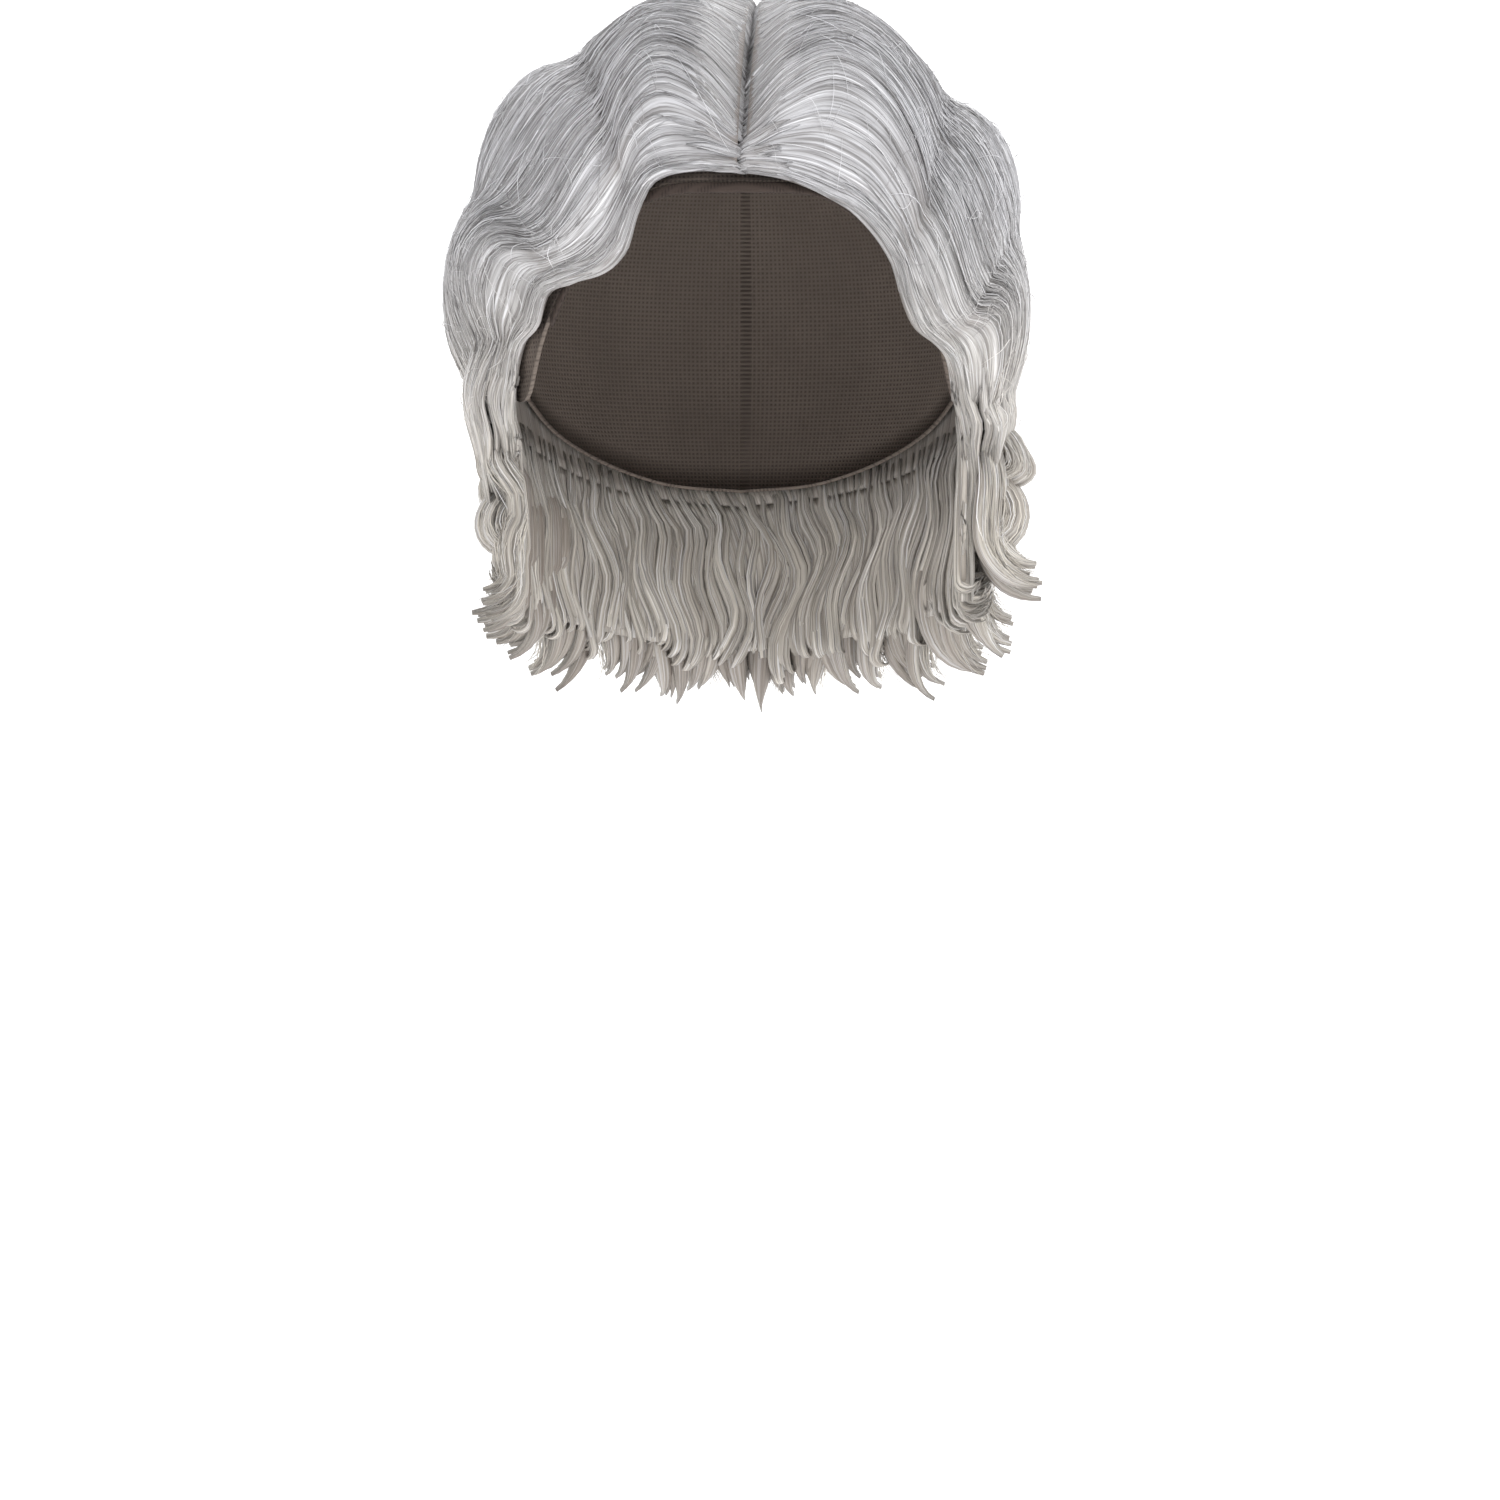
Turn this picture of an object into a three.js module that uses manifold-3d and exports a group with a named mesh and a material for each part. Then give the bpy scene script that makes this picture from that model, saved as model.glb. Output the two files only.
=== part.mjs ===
import * as THREE from 'three';
import { mergeVertices } from 'three/addons/utils/BufferGeometryUtils.js';
import Module from 'manifold-3d';

// A finger wave wig in millimetres. +Z is up, the front faces -Y, and the origin is inside the
// crown of the cap. Left and right are the wearer's own, so the left side has positive X.

// Head that the cap fits: half an ellipsoid in front of the ears and half behind them
const HEAD_HALF_WIDTH = 75;
const HEAD_FRONT = 92.5;
const HEAD_BACK = 98;
const CROWN_RISE = 88;

// Below the ears the hair hangs straight down instead of following the head
const HANG_SIDE_ANGLE = 1.95;
const HANG_BACK_ANGLE = 2.15;
const HANG_INWARD = 0.3;

// Cap
const CAP_WALL = 1.5;
const CAP_COLUMNS = 44;
const CAP_ROWS = 8;
const BAND_HEIGHT = 3.2;
const BAND_WALL = 1.2;
const BAND_COLUMNS = 6;

// Air between two pieces that touch, and the room that flat facets need over a round cap
const SEAT_GAP = 0.3;
const FACET_ROOM = 1.5;

// Centre part, measured over the scalp from the crown
const PART_FRONT = 99;
const PART_BACK = 12;
const PART_WIDTH = 2.6;
const STRIP_HEIGHT = 1.6;
const STRIP_STEPS = 14;
const PART_BEND = 5;

// Hair
const HAIR_DEPTH = 12;
const HAIR_INSIDE = CAP_WALL + SEAT_GAP + FACET_ROOM;
const PANEL_DROP = 162;
const WAVE_SWING = 17;
const SWING_RAMP = 32;
const SIDE_CALM = 0.25;
const CALM_FROM = 0.68;
const CALM_RUN = 0.3;
const EDGE_BLEND = 26;
const EDGE_TAPER = 15;
const PART_TAPER = 14;
const PART_DEPTH = 3.4;
const CROWN_DEPTH = 8;
const CREST_EARLY = 0.8;
const FAN_RADIUS = 45;
const FAN_START = 3;
const FAN_RAMP = 20;
const EDGE_CLOSENESS = 0.35;
const SIDE_COLUMNS = 16;
const BACK_COLUMNS = 13;
const PANEL_STATIONS = 24;
const INNER_SHARE = 0.6;
const STATION_SPREAD = 1.25;
const ROUNDED_FROM = 0.9;
const ROUNDED_BY = 0.45;

// Panels are parted along two strands behind the ears
const PANEL_SPLIT = 0.9;

// Lowest hair: locks on a thin backing of hair, from the panels' lower edges to the turned-up tips.
const SKIRT_WALL = 2.4;
const BACKING_GAP = 0.8;
const BACKING_ROWS = [0, 0.22, 0.46, 0.72, 1];
const SKIRT_DROP = 22;
const WIG_DROP = 200;
const LOCK_LENGTH = 40;
const LOCK_WIDTH = 25;
const LOCK_DEPTH = 11;
const LOCK_SIDES = 6;
const LOCK_ROOT = 0.85;
const LOCK_TIP = 0.5;
const LOCK_FULL_FROM = 0.3;
const LOCK_FULL_TO = 0.5;

// Height range that the locks keep clear inside, as shares of WIG_DROP below the crown
const CLEAR_FROM = 0.45;
const CLEAR_TO = 1.1;
const CLEAR_STEPS = 7;

// Waves of each side, from the part down. Places are shares of PANEL_DROP, along the hairline and
// beside the ear; depths are shares of HAIR_DEPTH, in the trough and on the crest that follows it.
const WAVES = {
  right: [
    { hairline: 0, ear: 0, trough: 0.75, crest: 1.04 },
    { hairline: 0.28, ear: 0.34, trough: 0.63, crest: 1.33 },
    { hairline: 0.53, ear: 0.65, trough: 0.85, crest: 1.12 },
    { hairline: 0.77, ear: 0.99, trough: 0.48, crest: 0.92 },
    { hairline: 1.05, ear: 1.33, trough: 0.67, crest: 0.92 },
    { hairline: 1.4, ear: 1.7, trough: 0.67, crest: 0.92 },
  ],
  left: [
    { hairline: 0, ear: 0, trough: 0.75, crest: 1.13 },
    { hairline: 0.46, ear: 0.44, trough: 0.66, crest: 1.34 },
    { hairline: 0.69, ear: 0.72, trough: 0.81, crest: 0.85 },
    { hairline: 0.93, ear: 0.99, trough: 0.52, crest: 0.95 },
    { hairline: 1.17, ear: 1.27, trough: 0.67, crest: 0.95 },
    { hairline: 1.5, ear: 1.6, trough: 0.67, crest: 0.95 },
  ],
};

// Hairline of each side, from the part down. The place is a share of PANEL_DROP, the distance that
// it lies behind the front of the part is a share of PART_FRONT, the edge a share of HAIR_DEPTH.
const HAIRLINES = {
  right: [
    { place: 0, behind: 0, edge: 0.25 },
    { place: 0.11, behind: 0.025, edge: 0.25 },
    { place: 0.225, behind: 0.045, edge: 0.28 },
    { place: 0.275, behind: -0.015, edge: 0.42 },
    { place: 0.33, behind: -0.11, edge: 0.58 },
    { place: 0.41, behind: -0.11, edge: 0.58 },
    { place: 0.52, behind: -0.015, edge: 0.5 },
    { place: 0.605, behind: 0.08, edge: 0.35 },
    { place: 0.68, behind: 0.09, edge: 0.3 },
    { place: 0.76, behind: 0.185, edge: 0.3 },
    { place: 0.86, behind: 0.26, edge: 0.3 },
    { place: 1, behind: 0.42, edge: 0.35 },
    { place: 1.2, behind: 0.52, edge: 0.35 },
    { place: 1.55, behind: 0.62, edge: 0.35 },
  ],
  left: [
    { place: 0, behind: 0, edge: 0.25 },
    { place: 0.22, behind: -0.005, edge: 0.25 },
    { place: 0.32, behind: 0, edge: 0.3 },
    { place: 0.45, behind: -0.03, edge: 0.35 },
    { place: 0.51, behind: -0.085, edge: 0.4 },
    { place: 0.57, behind: -0.095, edge: 0.4 },
    { place: 0.62, behind: -0.065, edge: 0.35 },
    { place: 0.75, behind: 0.075, edge: 0.3 },
    { place: 0.865, behind: 0.15, edge: 0.3 },
    { place: 0.96, behind: 0.28, edge: 0.35 },
    { place: 1.05, behind: 0.43, edge: 0.35 },
    { place: 1.2, behind: 0.52, edge: 0.35 },
    { place: 1.55, behind: 0.62, edge: 0.35 },
  ],
};

// Lower edges of the panels and of the backing below them, from the front of one side to the middle
// of the back. The place is a share of half the root line, panel and backing shares of PANEL_DROP.
const LOWER_EDGES = [
  { place: 0, panel: 0.97, backing: 1.33 },
  { place: 0.3, panel: 1, backing: 1.36 },
  { place: 0.6, panel: 1.02, backing: 1.38 },
  { place: 0.8, panel: 1.09, backing: 1.4 },
  { place: 1, panel: 1.12, backing: 1.42 },
];

// How a lock curls: its heading in degrees, from straight down to outward, at shares of its length,
// and how many rings of points it takes
const CURLS = {
  under: {
    rings: 6,
    turns: [
      { at: 0, heading: 24 }, { at: 0.3, heading: 8 }, { at: 0.6, heading: -35 },
      { at: 1, heading: -85 },
    ],
  },
  ring: {
    rings: 10,
    turns: [
      { at: 0, heading: 66 }, { at: 0.15, heading: 55 }, { at: 0.38, heading: -25 },
      { at: 0.6, heading: -125 }, { at: 0.8, heading: -215 }, { at: 1, heading: -290 },
    ],
  },
  roll: {
    rings: 8,
    turns: [
      { at: 0, heading: 60 }, { at: 0.3, heading: 20 }, { at: 0.55, heading: -62 },
      { at: 0.8, heading: -145 }, { at: 1, heading: -210 },
    ],
  },
  wave: {
    rings: 10,
    turns: [
      { at: 0, heading: 10 }, { at: 0.14, heading: -22 }, { at: 0.3, heading: -22 },
      { at: 0.4, heading: 8 }, { at: 0.5, heading: 32 }, { at: 0.62, heading: 2 },
      { at: 0.72, heading: -10 }, { at: 0.84, heading: 32 }, { at: 1, heading: 82 },
    ],
  },
  sway: {
    rings: 8,
    turns: [
      { at: 0, heading: 16 }, { at: 0.2, heading: 8 }, { at: 0.42, heading: -14 },
      { at: 0.6, heading: -6 }, { at: 0.78, heading: 24 }, { at: 1, heading: 76 },
    ],
  },
  flare: {
    rings: 8,
    turns: [
      { at: 0, heading: 16 }, { at: 0.2, heading: 10 }, { at: 0.42, heading: -4 },
      { at: 0.58, heading: 8 }, { at: 0.78, heading: 42 }, { at: 1, heading: 88 },
    ],
  },
  tier: {
    rings: 7,
    turns: [
      { at: 0, heading: 24 }, { at: 0.25, heading: 12 }, { at: 0.5, heading: -16 },
      { at: 0.72, heading: 0 }, { at: 0.86, heading: 30 }, { at: 1, heading: 66 },
    ],
  },
};

// Curls and locks of each group. Round is the root's place round from the front in degrees, top a
// share of WIG_DROP below the crown, out and width shares of LOCK_WIDTH, deep a share of LOCK_DEPTH,
// length a share of LOCK_LENGTH, and swing how many degrees round the tip lies from the root.
const LOCKS = {
  ear_curl_right: [
    { curl: 'under', round: -86, top: 0.592, out: 0.15, length: 0.8, width: 1.35, deep: 0.7, swing: 2 },
  ],
  ear_curl_left: [
    { curl: 'ring', round: 87, top: 0.592, out: 0.2, length: 1.18, width: 1.2, deep: 0.62, swing: 2 },
  ],
  side_locks_right: [
    { curl: 'wave', round: -81, top: 0.63, out: 0.18, length: 1.46, width: 1.25, deep: 0.78, swing: 2 },
    { curl: 'wave', round: -98, top: 0.625, out: 0.2, length: 1.57, width: 1.3, deep: 0.82, swing: 4 },
    { curl: 'wave', round: -115, top: 0.66, out: 0.24, length: 1.56, width: 1.3, deep: 0.85, swing: 4 },
    { curl: 'sway', round: -131, top: 0.708, out: 0.25, length: 1.5, width: 1.3, deep: 0.85, swing: 3 },
    { curl: 'under', round: -108, top: 0.638, out: 0.27, length: 0.8, width: 1.3, deep: 0.75, swing: 0 },
    { curl: 'roll', round: -88, top: 0.71, out: 0.05, length: 0.76, width: 1.2, deep: 0.68, swing: 3 },
  ],
  side_locks_left: [
    { curl: 'flare', round: 82, top: 0.62, out: 0.22, length: 1.38, width: 1.25, deep: 0.85, swing: 3 },
    { curl: 'sway', round: 98, top: 0.625, out: 0.24, length: 1.69, width: 1.3, deep: 0.88, swing: 4 },
    { curl: 'sway', round: 115, top: 0.66, out: 0.25, length: 1.73, width: 1.3, deep: 0.88, swing: 3 },
    { curl: 'sway', round: 131, top: 0.708, out: 0.25, length: 1.6, width: 1.3, deep: 0.85, swing: 2 },
    { curl: 'roll', round: 107, top: 0.642, out: 0.3, length: 0.86, width: 1.3, deep: 0.75, swing: 0 },
    { curl: 'roll', round: 88, top: 0.68, out: 0.22, length: 1.02, width: 1.25, deep: 0.78, swing: 0 },
  ],
  nape_locks: [
    { curl: 'sway', round: 148, top: 0.725, out: 0.25, length: 1.5, width: 1.4, deep: 0.85, swing: 3 },
    { curl: 'sway', round: 164, top: 0.738, out: 0.25, length: 1.48, width: 1.4, deep: 0.9, swing: 3 },
    { curl: 'sway', round: 180, top: 0.744, out: 0.25, length: 1.48, width: 1.4, deep: 0.9, swing: -2 },
    { curl: 'sway', round: 196, top: 0.742, out: 0.25, length: 1.46, width: 1.4, deep: 0.9, swing: -3 },
    { curl: 'sway', round: 212, top: 0.735, out: 0.25, length: 1.42, width: 1.4, deep: 0.85, swing: -3 },
    { curl: 'tier', round: 157, top: 0.74, out: 0.3, length: 0.84, width: 1.55, deep: 0.8, swing: 2 },
    { curl: 'tier', round: 181, top: 0.746, out: 0.3, length: 0.9, width: 1.6, deep: 0.8, swing: 2 },
    { curl: 'tier', round: 204, top: 0.743, out: 0.3, length: 0.84, width: 1.55, deep: 0.8, swing: -2 },
  ],
};

// Lower edge of the cap as angles from the crown, by the angle round from the front, both in
// degrees: forehead, temple, ear tab, ear cut-out and nape.
const CAP_EDGE = [
  { round: 0, down: 65 },
  { round: 22, down: 66.5 },
  { round: 38, down: 77 },
  { round: 50, down: 92 },
  { round: 62, down: 106 },
  { round: 72, down: 106 },
  { round: 84, down: 98 },
  { round: 105, down: 99 },
  { round: 125, down: 112 },
  { round: 155, down: 122 },
  { round: 180, down: 124 },
];

const wasm = await Module();
wasm.setup();

const clamp01 = (value) => Math.min(Math.max(value, 0), 1);
const mix = (a, b, share) => a + (b - a) * share;
const ease = (value) => {
  const t = clamp01(value);
  return t * t * (3 - 2 * t);
};

// Reads one column of a table at a place, along a smooth curve through its rows
function readTable(table, place, column, at) {
  const last = table.length - 1;
  if (at <= table[0][place]) return table[0][column];
  if (at >= table[last][place]) return table[last][column];
  const row = table.findIndex((entry) => entry[place] > at) - 1;
  const slope = (index) => {
    const before = table[Math.max(index - 1, 0)];
    const after = table[Math.min(index + 1, last)];
    return (after[column] - before[column]) / (after[place] - before[place]);
  };
  const span = table[row + 1][place] - table[row][place];
  const t = (at - table[row][place]) / span;
  const t2 = t * t;
  const t3 = t2 * t;
  return (2 * t3 - 3 * t2 + 1) * table[row][column]
    + (t3 - 2 * t2 + t) * span * slope(row)
    + (3 * t2 - 2 * t3) * table[row + 1][column]
    + (t3 - t2) * span * slope(row + 1);
}

// Point at a height over the head. x and y are distances over the scalp from the crown; past the
// hang angle the surface leaves the head and runs almost straight down.
function headPoint(x, y, height) {
  const reach = Math.hypot(x, y);
  const angle = reach / CROWN_RISE;
  const roundX = reach > 0 ? x / reach : 0;
  const roundY = reach > 0 ? y / reach : 0;
  const hang = mix(HANG_SIDE_ANGLE, HANG_BACK_ANGLE, ease(roundY));
  const down = Math.min(angle, hang);
  const below = Math.max(angle - hang, 0) * CROWN_RISE;
  const headDepth = roundY < 0 ? HEAD_FRONT : HEAD_BACK;
  const normal = new THREE.Vector3(
    Math.sin(down) * roundX / HEAD_HALF_WIDTH,
    Math.sin(down) * roundY / headDepth,
    Math.cos(down) / CROWN_RISE,
  );
  normal.normalize();
  const level = ease(below / SKIRT_DROP);
  normal.z *= 1 - level;
  normal.normalize();
  const point = new THREE.Vector3(
    HEAD_HALF_WIDTH * Math.sin(down) * roundX,
    headDepth * Math.sin(down) * roundY,
    CROWN_RISE * (Math.cos(down) - 1) - below,
  );
  const inward = HANG_INWARD * below / (1 + below / SKIRT_DROP);
  point.x -= inward * roundX;
  point.y -= inward * roundY;
  return point.addScaledVector(normal, height);
}

// The root line runs back along the right side of the part, round the crown in a fan, and forward
// again along the left side.
const SIDE_RUN = PART_FRONT + PART_BACK;
const FAN_RUN = Math.PI * FAN_RADIUS;
const ROOT_RUN = 2 * SIDE_RUN + FAN_RUN;

// Waves passed at a distance from the part: whole numbers lie in the troughs
function wavesPassed(waves, toHairline, distance) {
  const at = (row) => PANEL_DROP * mix(row.ear, row.hairline, toHairline);
  let row = 0;
  while (row < waves.length - 2 && distance > at(waves[row + 1])) row += 1;
  return row + (distance - at(waves[row])) / (at(waves[row + 1]) - at(waves[row]));
}

// Where a root lies: which side it is on, how far behind the front edge, and how far round the fan
function rootPlace(root) {
  const fromFront = Math.min(root, ROOT_RUN - root);
  const side = root < ROOT_RUN / 2 ? 'right' : 'left';
  const round = clamp01((root - SIDE_RUN) / FAN_RUN);
  const toHairline = clamp01(1 - fromFront / (PART_FRONT - PART_BACK));
  return { fromFront, side, round, toHairline };
}

// Wave count along a strand. The left side is one wave ahead of the right, and round the fan the
// count shifts evenly, so that the troughs wind round the back of the head.
function waveCount(root, distance) {
  const { round, toHairline } = rootPlace(root);
  const right = wavesPassed(WAVES.right, toHairline, distance);
  const left = 1 + wavesPassed(WAVES.left, toHairline, distance);
  return mix(right, left, ease(round));
}

// Strand of hair as a place on the scalp, at a distance from the part
function strand(root, distance) {
  const { fromFront, side, round, toHairline } = rootPlace(root);
  const turn = round * Math.PI;
  const away = [-Math.cos(turn), Math.sin(turn)];
  const along = [Math.sin(turn), Math.cos(turn)];
  const calm = ease((distance / PANEL_DROP - CALM_FROM) / CALM_RUN) * ease(Math.abs(1 - 2 * round));
  const swing = WAVE_SWING * ease(distance / SWING_RAMP) * mix(1, SIDE_CALM, calm)
    * Math.sin(Math.PI * waveCount(root, distance));
  let shift = swing;
  if (fromFront < SIDE_RUN) {
    const hairline = PART_FRONT
      * readTable(HAIRLINES[side], 'place', 'behind', distance / PANEL_DROP);
    const recession = Math.max(hairline, 0) * ease(distance / PANEL_DROP);
    const free = ease(fromFront / EDGE_BLEND);
    const sign = side === 'right' ? 1 : -1;
    shift = sign * mix(hairline, sign * swing + recession * (1 - fromFront / SIDE_RUN), free);
  }
  const rootY = fromFront < SIDE_RUN ? fromFront - PART_FRONT : PART_BACK;
  const bend = PART_BEND * (1 - toHairline) * (1 - ease(distance / EDGE_BLEND));
  return [
    bend + away[0] * distance + along[0] * shift,
    rootY + away[1] * distance + along[1] * shift,
  ];
}

// Depth of the hair over its inner face: crests and troughs, thin at the hairline and at the part
function hairDepth(root, distance) {
  const { fromFront, side, round, toHairline } = rootPlace(root);
  const count = waveCount(root, distance);
  const level = Math.max(count - ease(round), 0);
  const row = Math.min(Math.floor(level), WAVES.right.length - 2);
  const share = clamp01(level - row);
  const read = (column, weight) => {
    const value = (name) => mix(WAVES[name][row][column], WAVES[name][row + 1][column], weight);
    return mix(value('right'), value('left'), ease(round));
  };
  const crest = Math.sin(Math.PI * (count - Math.floor(count)) ** CREST_EARLY);
  const full = HAIR_DEPTH * mix(read('trough', share), read('crest', ease(4 * share - 3)), crest);
  const edge = HAIR_DEPTH * readTable(HAIRLINES[side], 'place', 'edge', distance / PANEL_DROP);
  const atHairline = mix(edge, full, ease(fromFront / EDGE_TAPER));
  const atPart = mix(PART_DEPTH, CROWN_DEPTH, ease(1.3 - 1.6 * toHairline));
  return mix(Math.min(atPart, atHairline), atHairline, ease(distance / PART_TAPER));
}

// Place in space: a root, a distance down its strand and a height over the cap's outer face
function hairPoint(root, distance, height) {
  const [x, y] = strand(root, distance);
  return headPoint(x, y, HAIR_INSIDE + height);
}

// Distance down a strand to a lower edge, of a panel or of the backing
function lowerEdge(root, name) {
  const place = Math.min(root, ROOT_RUN - root) / (ROOT_RUN / 2);
  return PANEL_DROP * readTable(LOWER_EDGES, 'place', name, place);
}

// Closed body through rings of points, with both ends filled
function loft(rings) {
  const size = rings[0].length;
  const vertices = rings.flat();
  const faces = [];
  for (let ring = 0; ring < rings.length - 1; ring += 1) {
    for (let step = 0; step < size; step += 1) {
      const next = (step + 1) % size;
      const a = ring * size + step;
      const b = ring * size + next;
      faces.push(a, b, a + size);
      faces.push(b, b + size, a + size);
    }
  }
  const end = (rings.length - 1) * size;
  const flat = (ring) => {
    const loop = rings[ring];
    const middle = vertices.length;
    const centre = new THREE.Vector3();
    loop.forEach((point) => centre.addScaledVector(point, 1 / size));
    vertices.push(centre);
    return middle;
  };
  const first = flat(0);
  const last = flat(rings.length - 1);
  for (let step = 0; step < size; step += 1) {
    const next = (step + 1) % size;
    faces.push(first, next, step);
    faces.push(last, end + step, end + next);
  }
  return bodyOf(vertices, faces);
}

// Closed body between an outer and an inner row of points at each station, with ladder ends
function shellLoft(rows) {
  const outer = rows[0].outer.length;
  const inner = rows[0].inner.length;
  const size = outer + inner;
  const vertices = rows.flatMap((row) => [...row.outer, ...[...row.inner].reverse()]);
  const faces = [];
  for (let row = 0; row < rows.length - 1; row += 1) {
    for (let step = 0; step < size; step += 1) {
      const next = (step + 1) % size;
      const a = row * size + step;
      const b = row * size + next;
      faces.push(a, b, a + size);
      faces.push(b, b + size, a + size);
    }
  }
  const ladder = (base, turned) => {
    let o = 0;
    let i = 0;
    while (o < outer - 1 || i < inner - 1) {
      const here = base + o;
      const there = base + size - 1 - i;
      const outerNext = o < outer - 1 && (o + 1) / (outer - 1) <= (i + 1) / (inner - 1);
      const next = outerNext || i >= inner - 1 ? here + 1 : there - 1;
      if (next === here + 1) o += 1;
      else i += 1;
      faces.push(...(turned ? [here, next, there] : [here, there, next]));
    }
  };
  ladder(0, false);
  ladder((rows.length - 1) * size, true);
  return bodyOf(vertices, faces);
}

// Indexed geometry with its faces pointing out
function bodyOf(vertices, faces) {
  let volume = 0;
  for (let i = 0; i < faces.length; i += 3) {
    const [a, b, c] = [vertices[faces[i]], vertices[faces[i + 1]], vertices[faces[i + 2]]];
    volume += a.dot(b.clone().cross(c));
  }
  const turned = volume < 0;
  const index = [];
  for (let i = 0; i < faces.length; i += 3) {
    index.push(faces[i], faces[turned ? i + 2 : i + 1], faces[turned ? i + 1 : i + 2]);
  }
  const geometry = new THREE.BufferGeometry();
  geometry.setAttribute('position', new THREE.Float32BufferAttribute(
    vertices.flatMap((point) => [point.x, point.y, point.z]), 3));
  geometry.setIndex(index);
  return geometry;
}

// Solids for joining and cutting, and back again
function toSolid(geometry) {
  const merged = mergeVertices(geometry, 1e-5);
  return new wasm.Manifold(new wasm.Mesh({
    numProp: 3,
    vertProperties: new Float32Array(merged.attributes.position.array),
    triVerts: new Uint32Array(merged.index.array),
  }));
}

function fromSolid(solid) {
  const mesh = solid.getMesh();
  const geometry = new THREE.BufferGeometry();
  const corners = new Float32Array(mesh.vertProperties);
  geometry.setAttribute('position', new THREE.BufferAttribute(corners, 3));
  geometry.setIndex(new THREE.BufferAttribute(new Uint32Array(mesh.triVerts), 1));
  return geometry;
}

// Point over the head at an angle round from the front and an angle down from the crown
function capPoint(round, down, height) {
  const reach = down * CROWN_RISE;
  return headPoint(Math.sin(round) * reach, -Math.cos(round) * reach, height);
}

function capEdge(round) {
  const degrees = THREE.MathUtils.radToDeg(Math.abs(round));
  return THREE.MathUtils.degToRad(readTable(CAP_EDGE, 'round', 'down', degrees));
}

// Cap: a thin shell over the head, open at the face, the ears and the neck
function makeCap() {
  const vertices = [];
  const faces = [];
  const walls = [CAP_WALL, 0];
  walls.forEach((height) => {
    vertices.push(headPoint(0, 0, height));
    for (let row = 1; row <= CAP_ROWS; row += 1) {
      for (let column = 0; column < CAP_COLUMNS; column += 1) {
        const round = (column / CAP_COLUMNS * 2 - 1) * Math.PI;
        vertices.push(capPoint(round, capEdge(round) * row / CAP_ROWS, height));
      }
    }
  });
  const wallSize = 1 + CAP_ROWS * CAP_COLUMNS;
  const at = (wall, row, column) => wall * wallSize + (row === 0 ? 0
    : 1 + (row - 1) * CAP_COLUMNS + column % CAP_COLUMNS);
  for (let column = 0; column < CAP_COLUMNS; column += 1) {
    for (let wall = 0; wall < 2; wall += 1) {
      const order = wall === 0 ? [column, column + 1] : [column + 1, column];
      faces.push(at(wall, 0, 0), at(wall, 1, order[0]), at(wall, 1, order[1]));
      for (let row = 1; row < CAP_ROWS; row += 1) {
        faces.push(at(wall, row, order[0]), at(wall, row + 1, order[0]), at(wall, row + 1, order[1]));
        faces.push(at(wall, row, order[0]), at(wall, row + 1, order[1]), at(wall, row, order[1]));
      }
    }
    const rim = CAP_ROWS;
    faces.push(at(0, rim, column), at(1, rim, column), at(1, rim, column + 1));
    faces.push(at(0, rim, column), at(1, rim, column + 1), at(0, rim, column + 1));
  }
  return bodyOf(vertices, faces);
}

// Band that binds the cap's front edge, just below the forehead hairline
function makeFrontBand() {
  const rings = [];
  for (let column = -BAND_COLUMNS; column <= BAND_COLUMNS; column += 1) {
    const round = column / CAP_COLUMNS * 2 * Math.PI;
    const top = capEdge(round) + SEAT_GAP / CROWN_RISE;
    const bottom = top + BAND_HEIGHT / CROWN_RISE;
    rings.push([
      capPoint(round, top, BAND_WALL),
      capPoint(round, bottom, BAND_WALL),
      capPoint(round, bottom, 0),
      capPoint(round, top, 0),
    ]);
  }
  return loft(rings);
}

// Strip along the part, on the cap
function makePartingStrip() {
  const rings = [];
  for (let step = 0; step <= STRIP_STEPS; step += 1) {
    const fromFront = mix(1, SIDE_RUN, step / STRIP_STEPS);
    const half = PART_WIDTH / 2;
    const [x, y] = strand(fromFront, 0);
    const low = CAP_WALL + SEAT_GAP;
    rings.push([
      headPoint(x - half, y, low),
      headPoint(x + half, y, low),
      headPoint(x + half, y, low + STRIP_HEIGHT),
      headPoint(x - half, y, low + STRIP_HEIGHT),
    ]);
  }
  return loft(rings);
}

// Roots of a panel's columns, a little closer together near its edges
function columnRoot(from, to, share) {
  return mix(from, to, mix(share, ease(share), EDGE_CLOSENESS));
}

// Waved panel of hair between two roots, from the part to its lower edge
function makePanel(from, to, columns, stations) {
  const rows = [];
  const innerColumns = Math.ceil(columns * INNER_SHARE);
  const firstDistance = PART_WIDTH / 2 + SEAT_GAP;
  for (let station = 0; station <= stations; station += 1) {
    const share = station / stations;
    const line = (count, heightOf) => {
      const points = [];
      for (let step = 0; step <= count; step += 1) {
        const root = columnRoot(from, to, step / count);
        const start = mix(firstDistance, FAN_START, ease((root - SIDE_RUN) / FAN_RAMP + 1)
          * ease((ROOT_RUN - SIDE_RUN - root) / FAN_RAMP + 1));
        const distance = mix(start, lowerEdge(root, 'panel'), mix(share, share ** STATION_SPREAD, 0.5));
        points.push(hairPoint(root, distance, heightOf(root, distance)));
      }
      return points;
    };
    const rounded = 1 - ROUNDED_BY * ease((share - ROUNDED_FROM) / (1 - ROUNDED_FROM));
    rows.push({
      outer: line(columns, (root, distance) => hairDepth(root, distance) * rounded),
      inner: line(innerColumns, () => 0),
    });
  }
  rows.forEach(({ outer, inner }) => {
    [outer, inner].forEach((points) => {
      const last = points.length - 1;
      const inset = (index, toward) => points[index].lerp(points[toward],
        SEAT_GAP / 2 / Math.max(points[index].distanceTo(points[toward]), SEAT_GAP));
      inset(0, 1);
      inset(last, last - 1);
    });
  });
  return shellLoft(rows);
}

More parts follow.
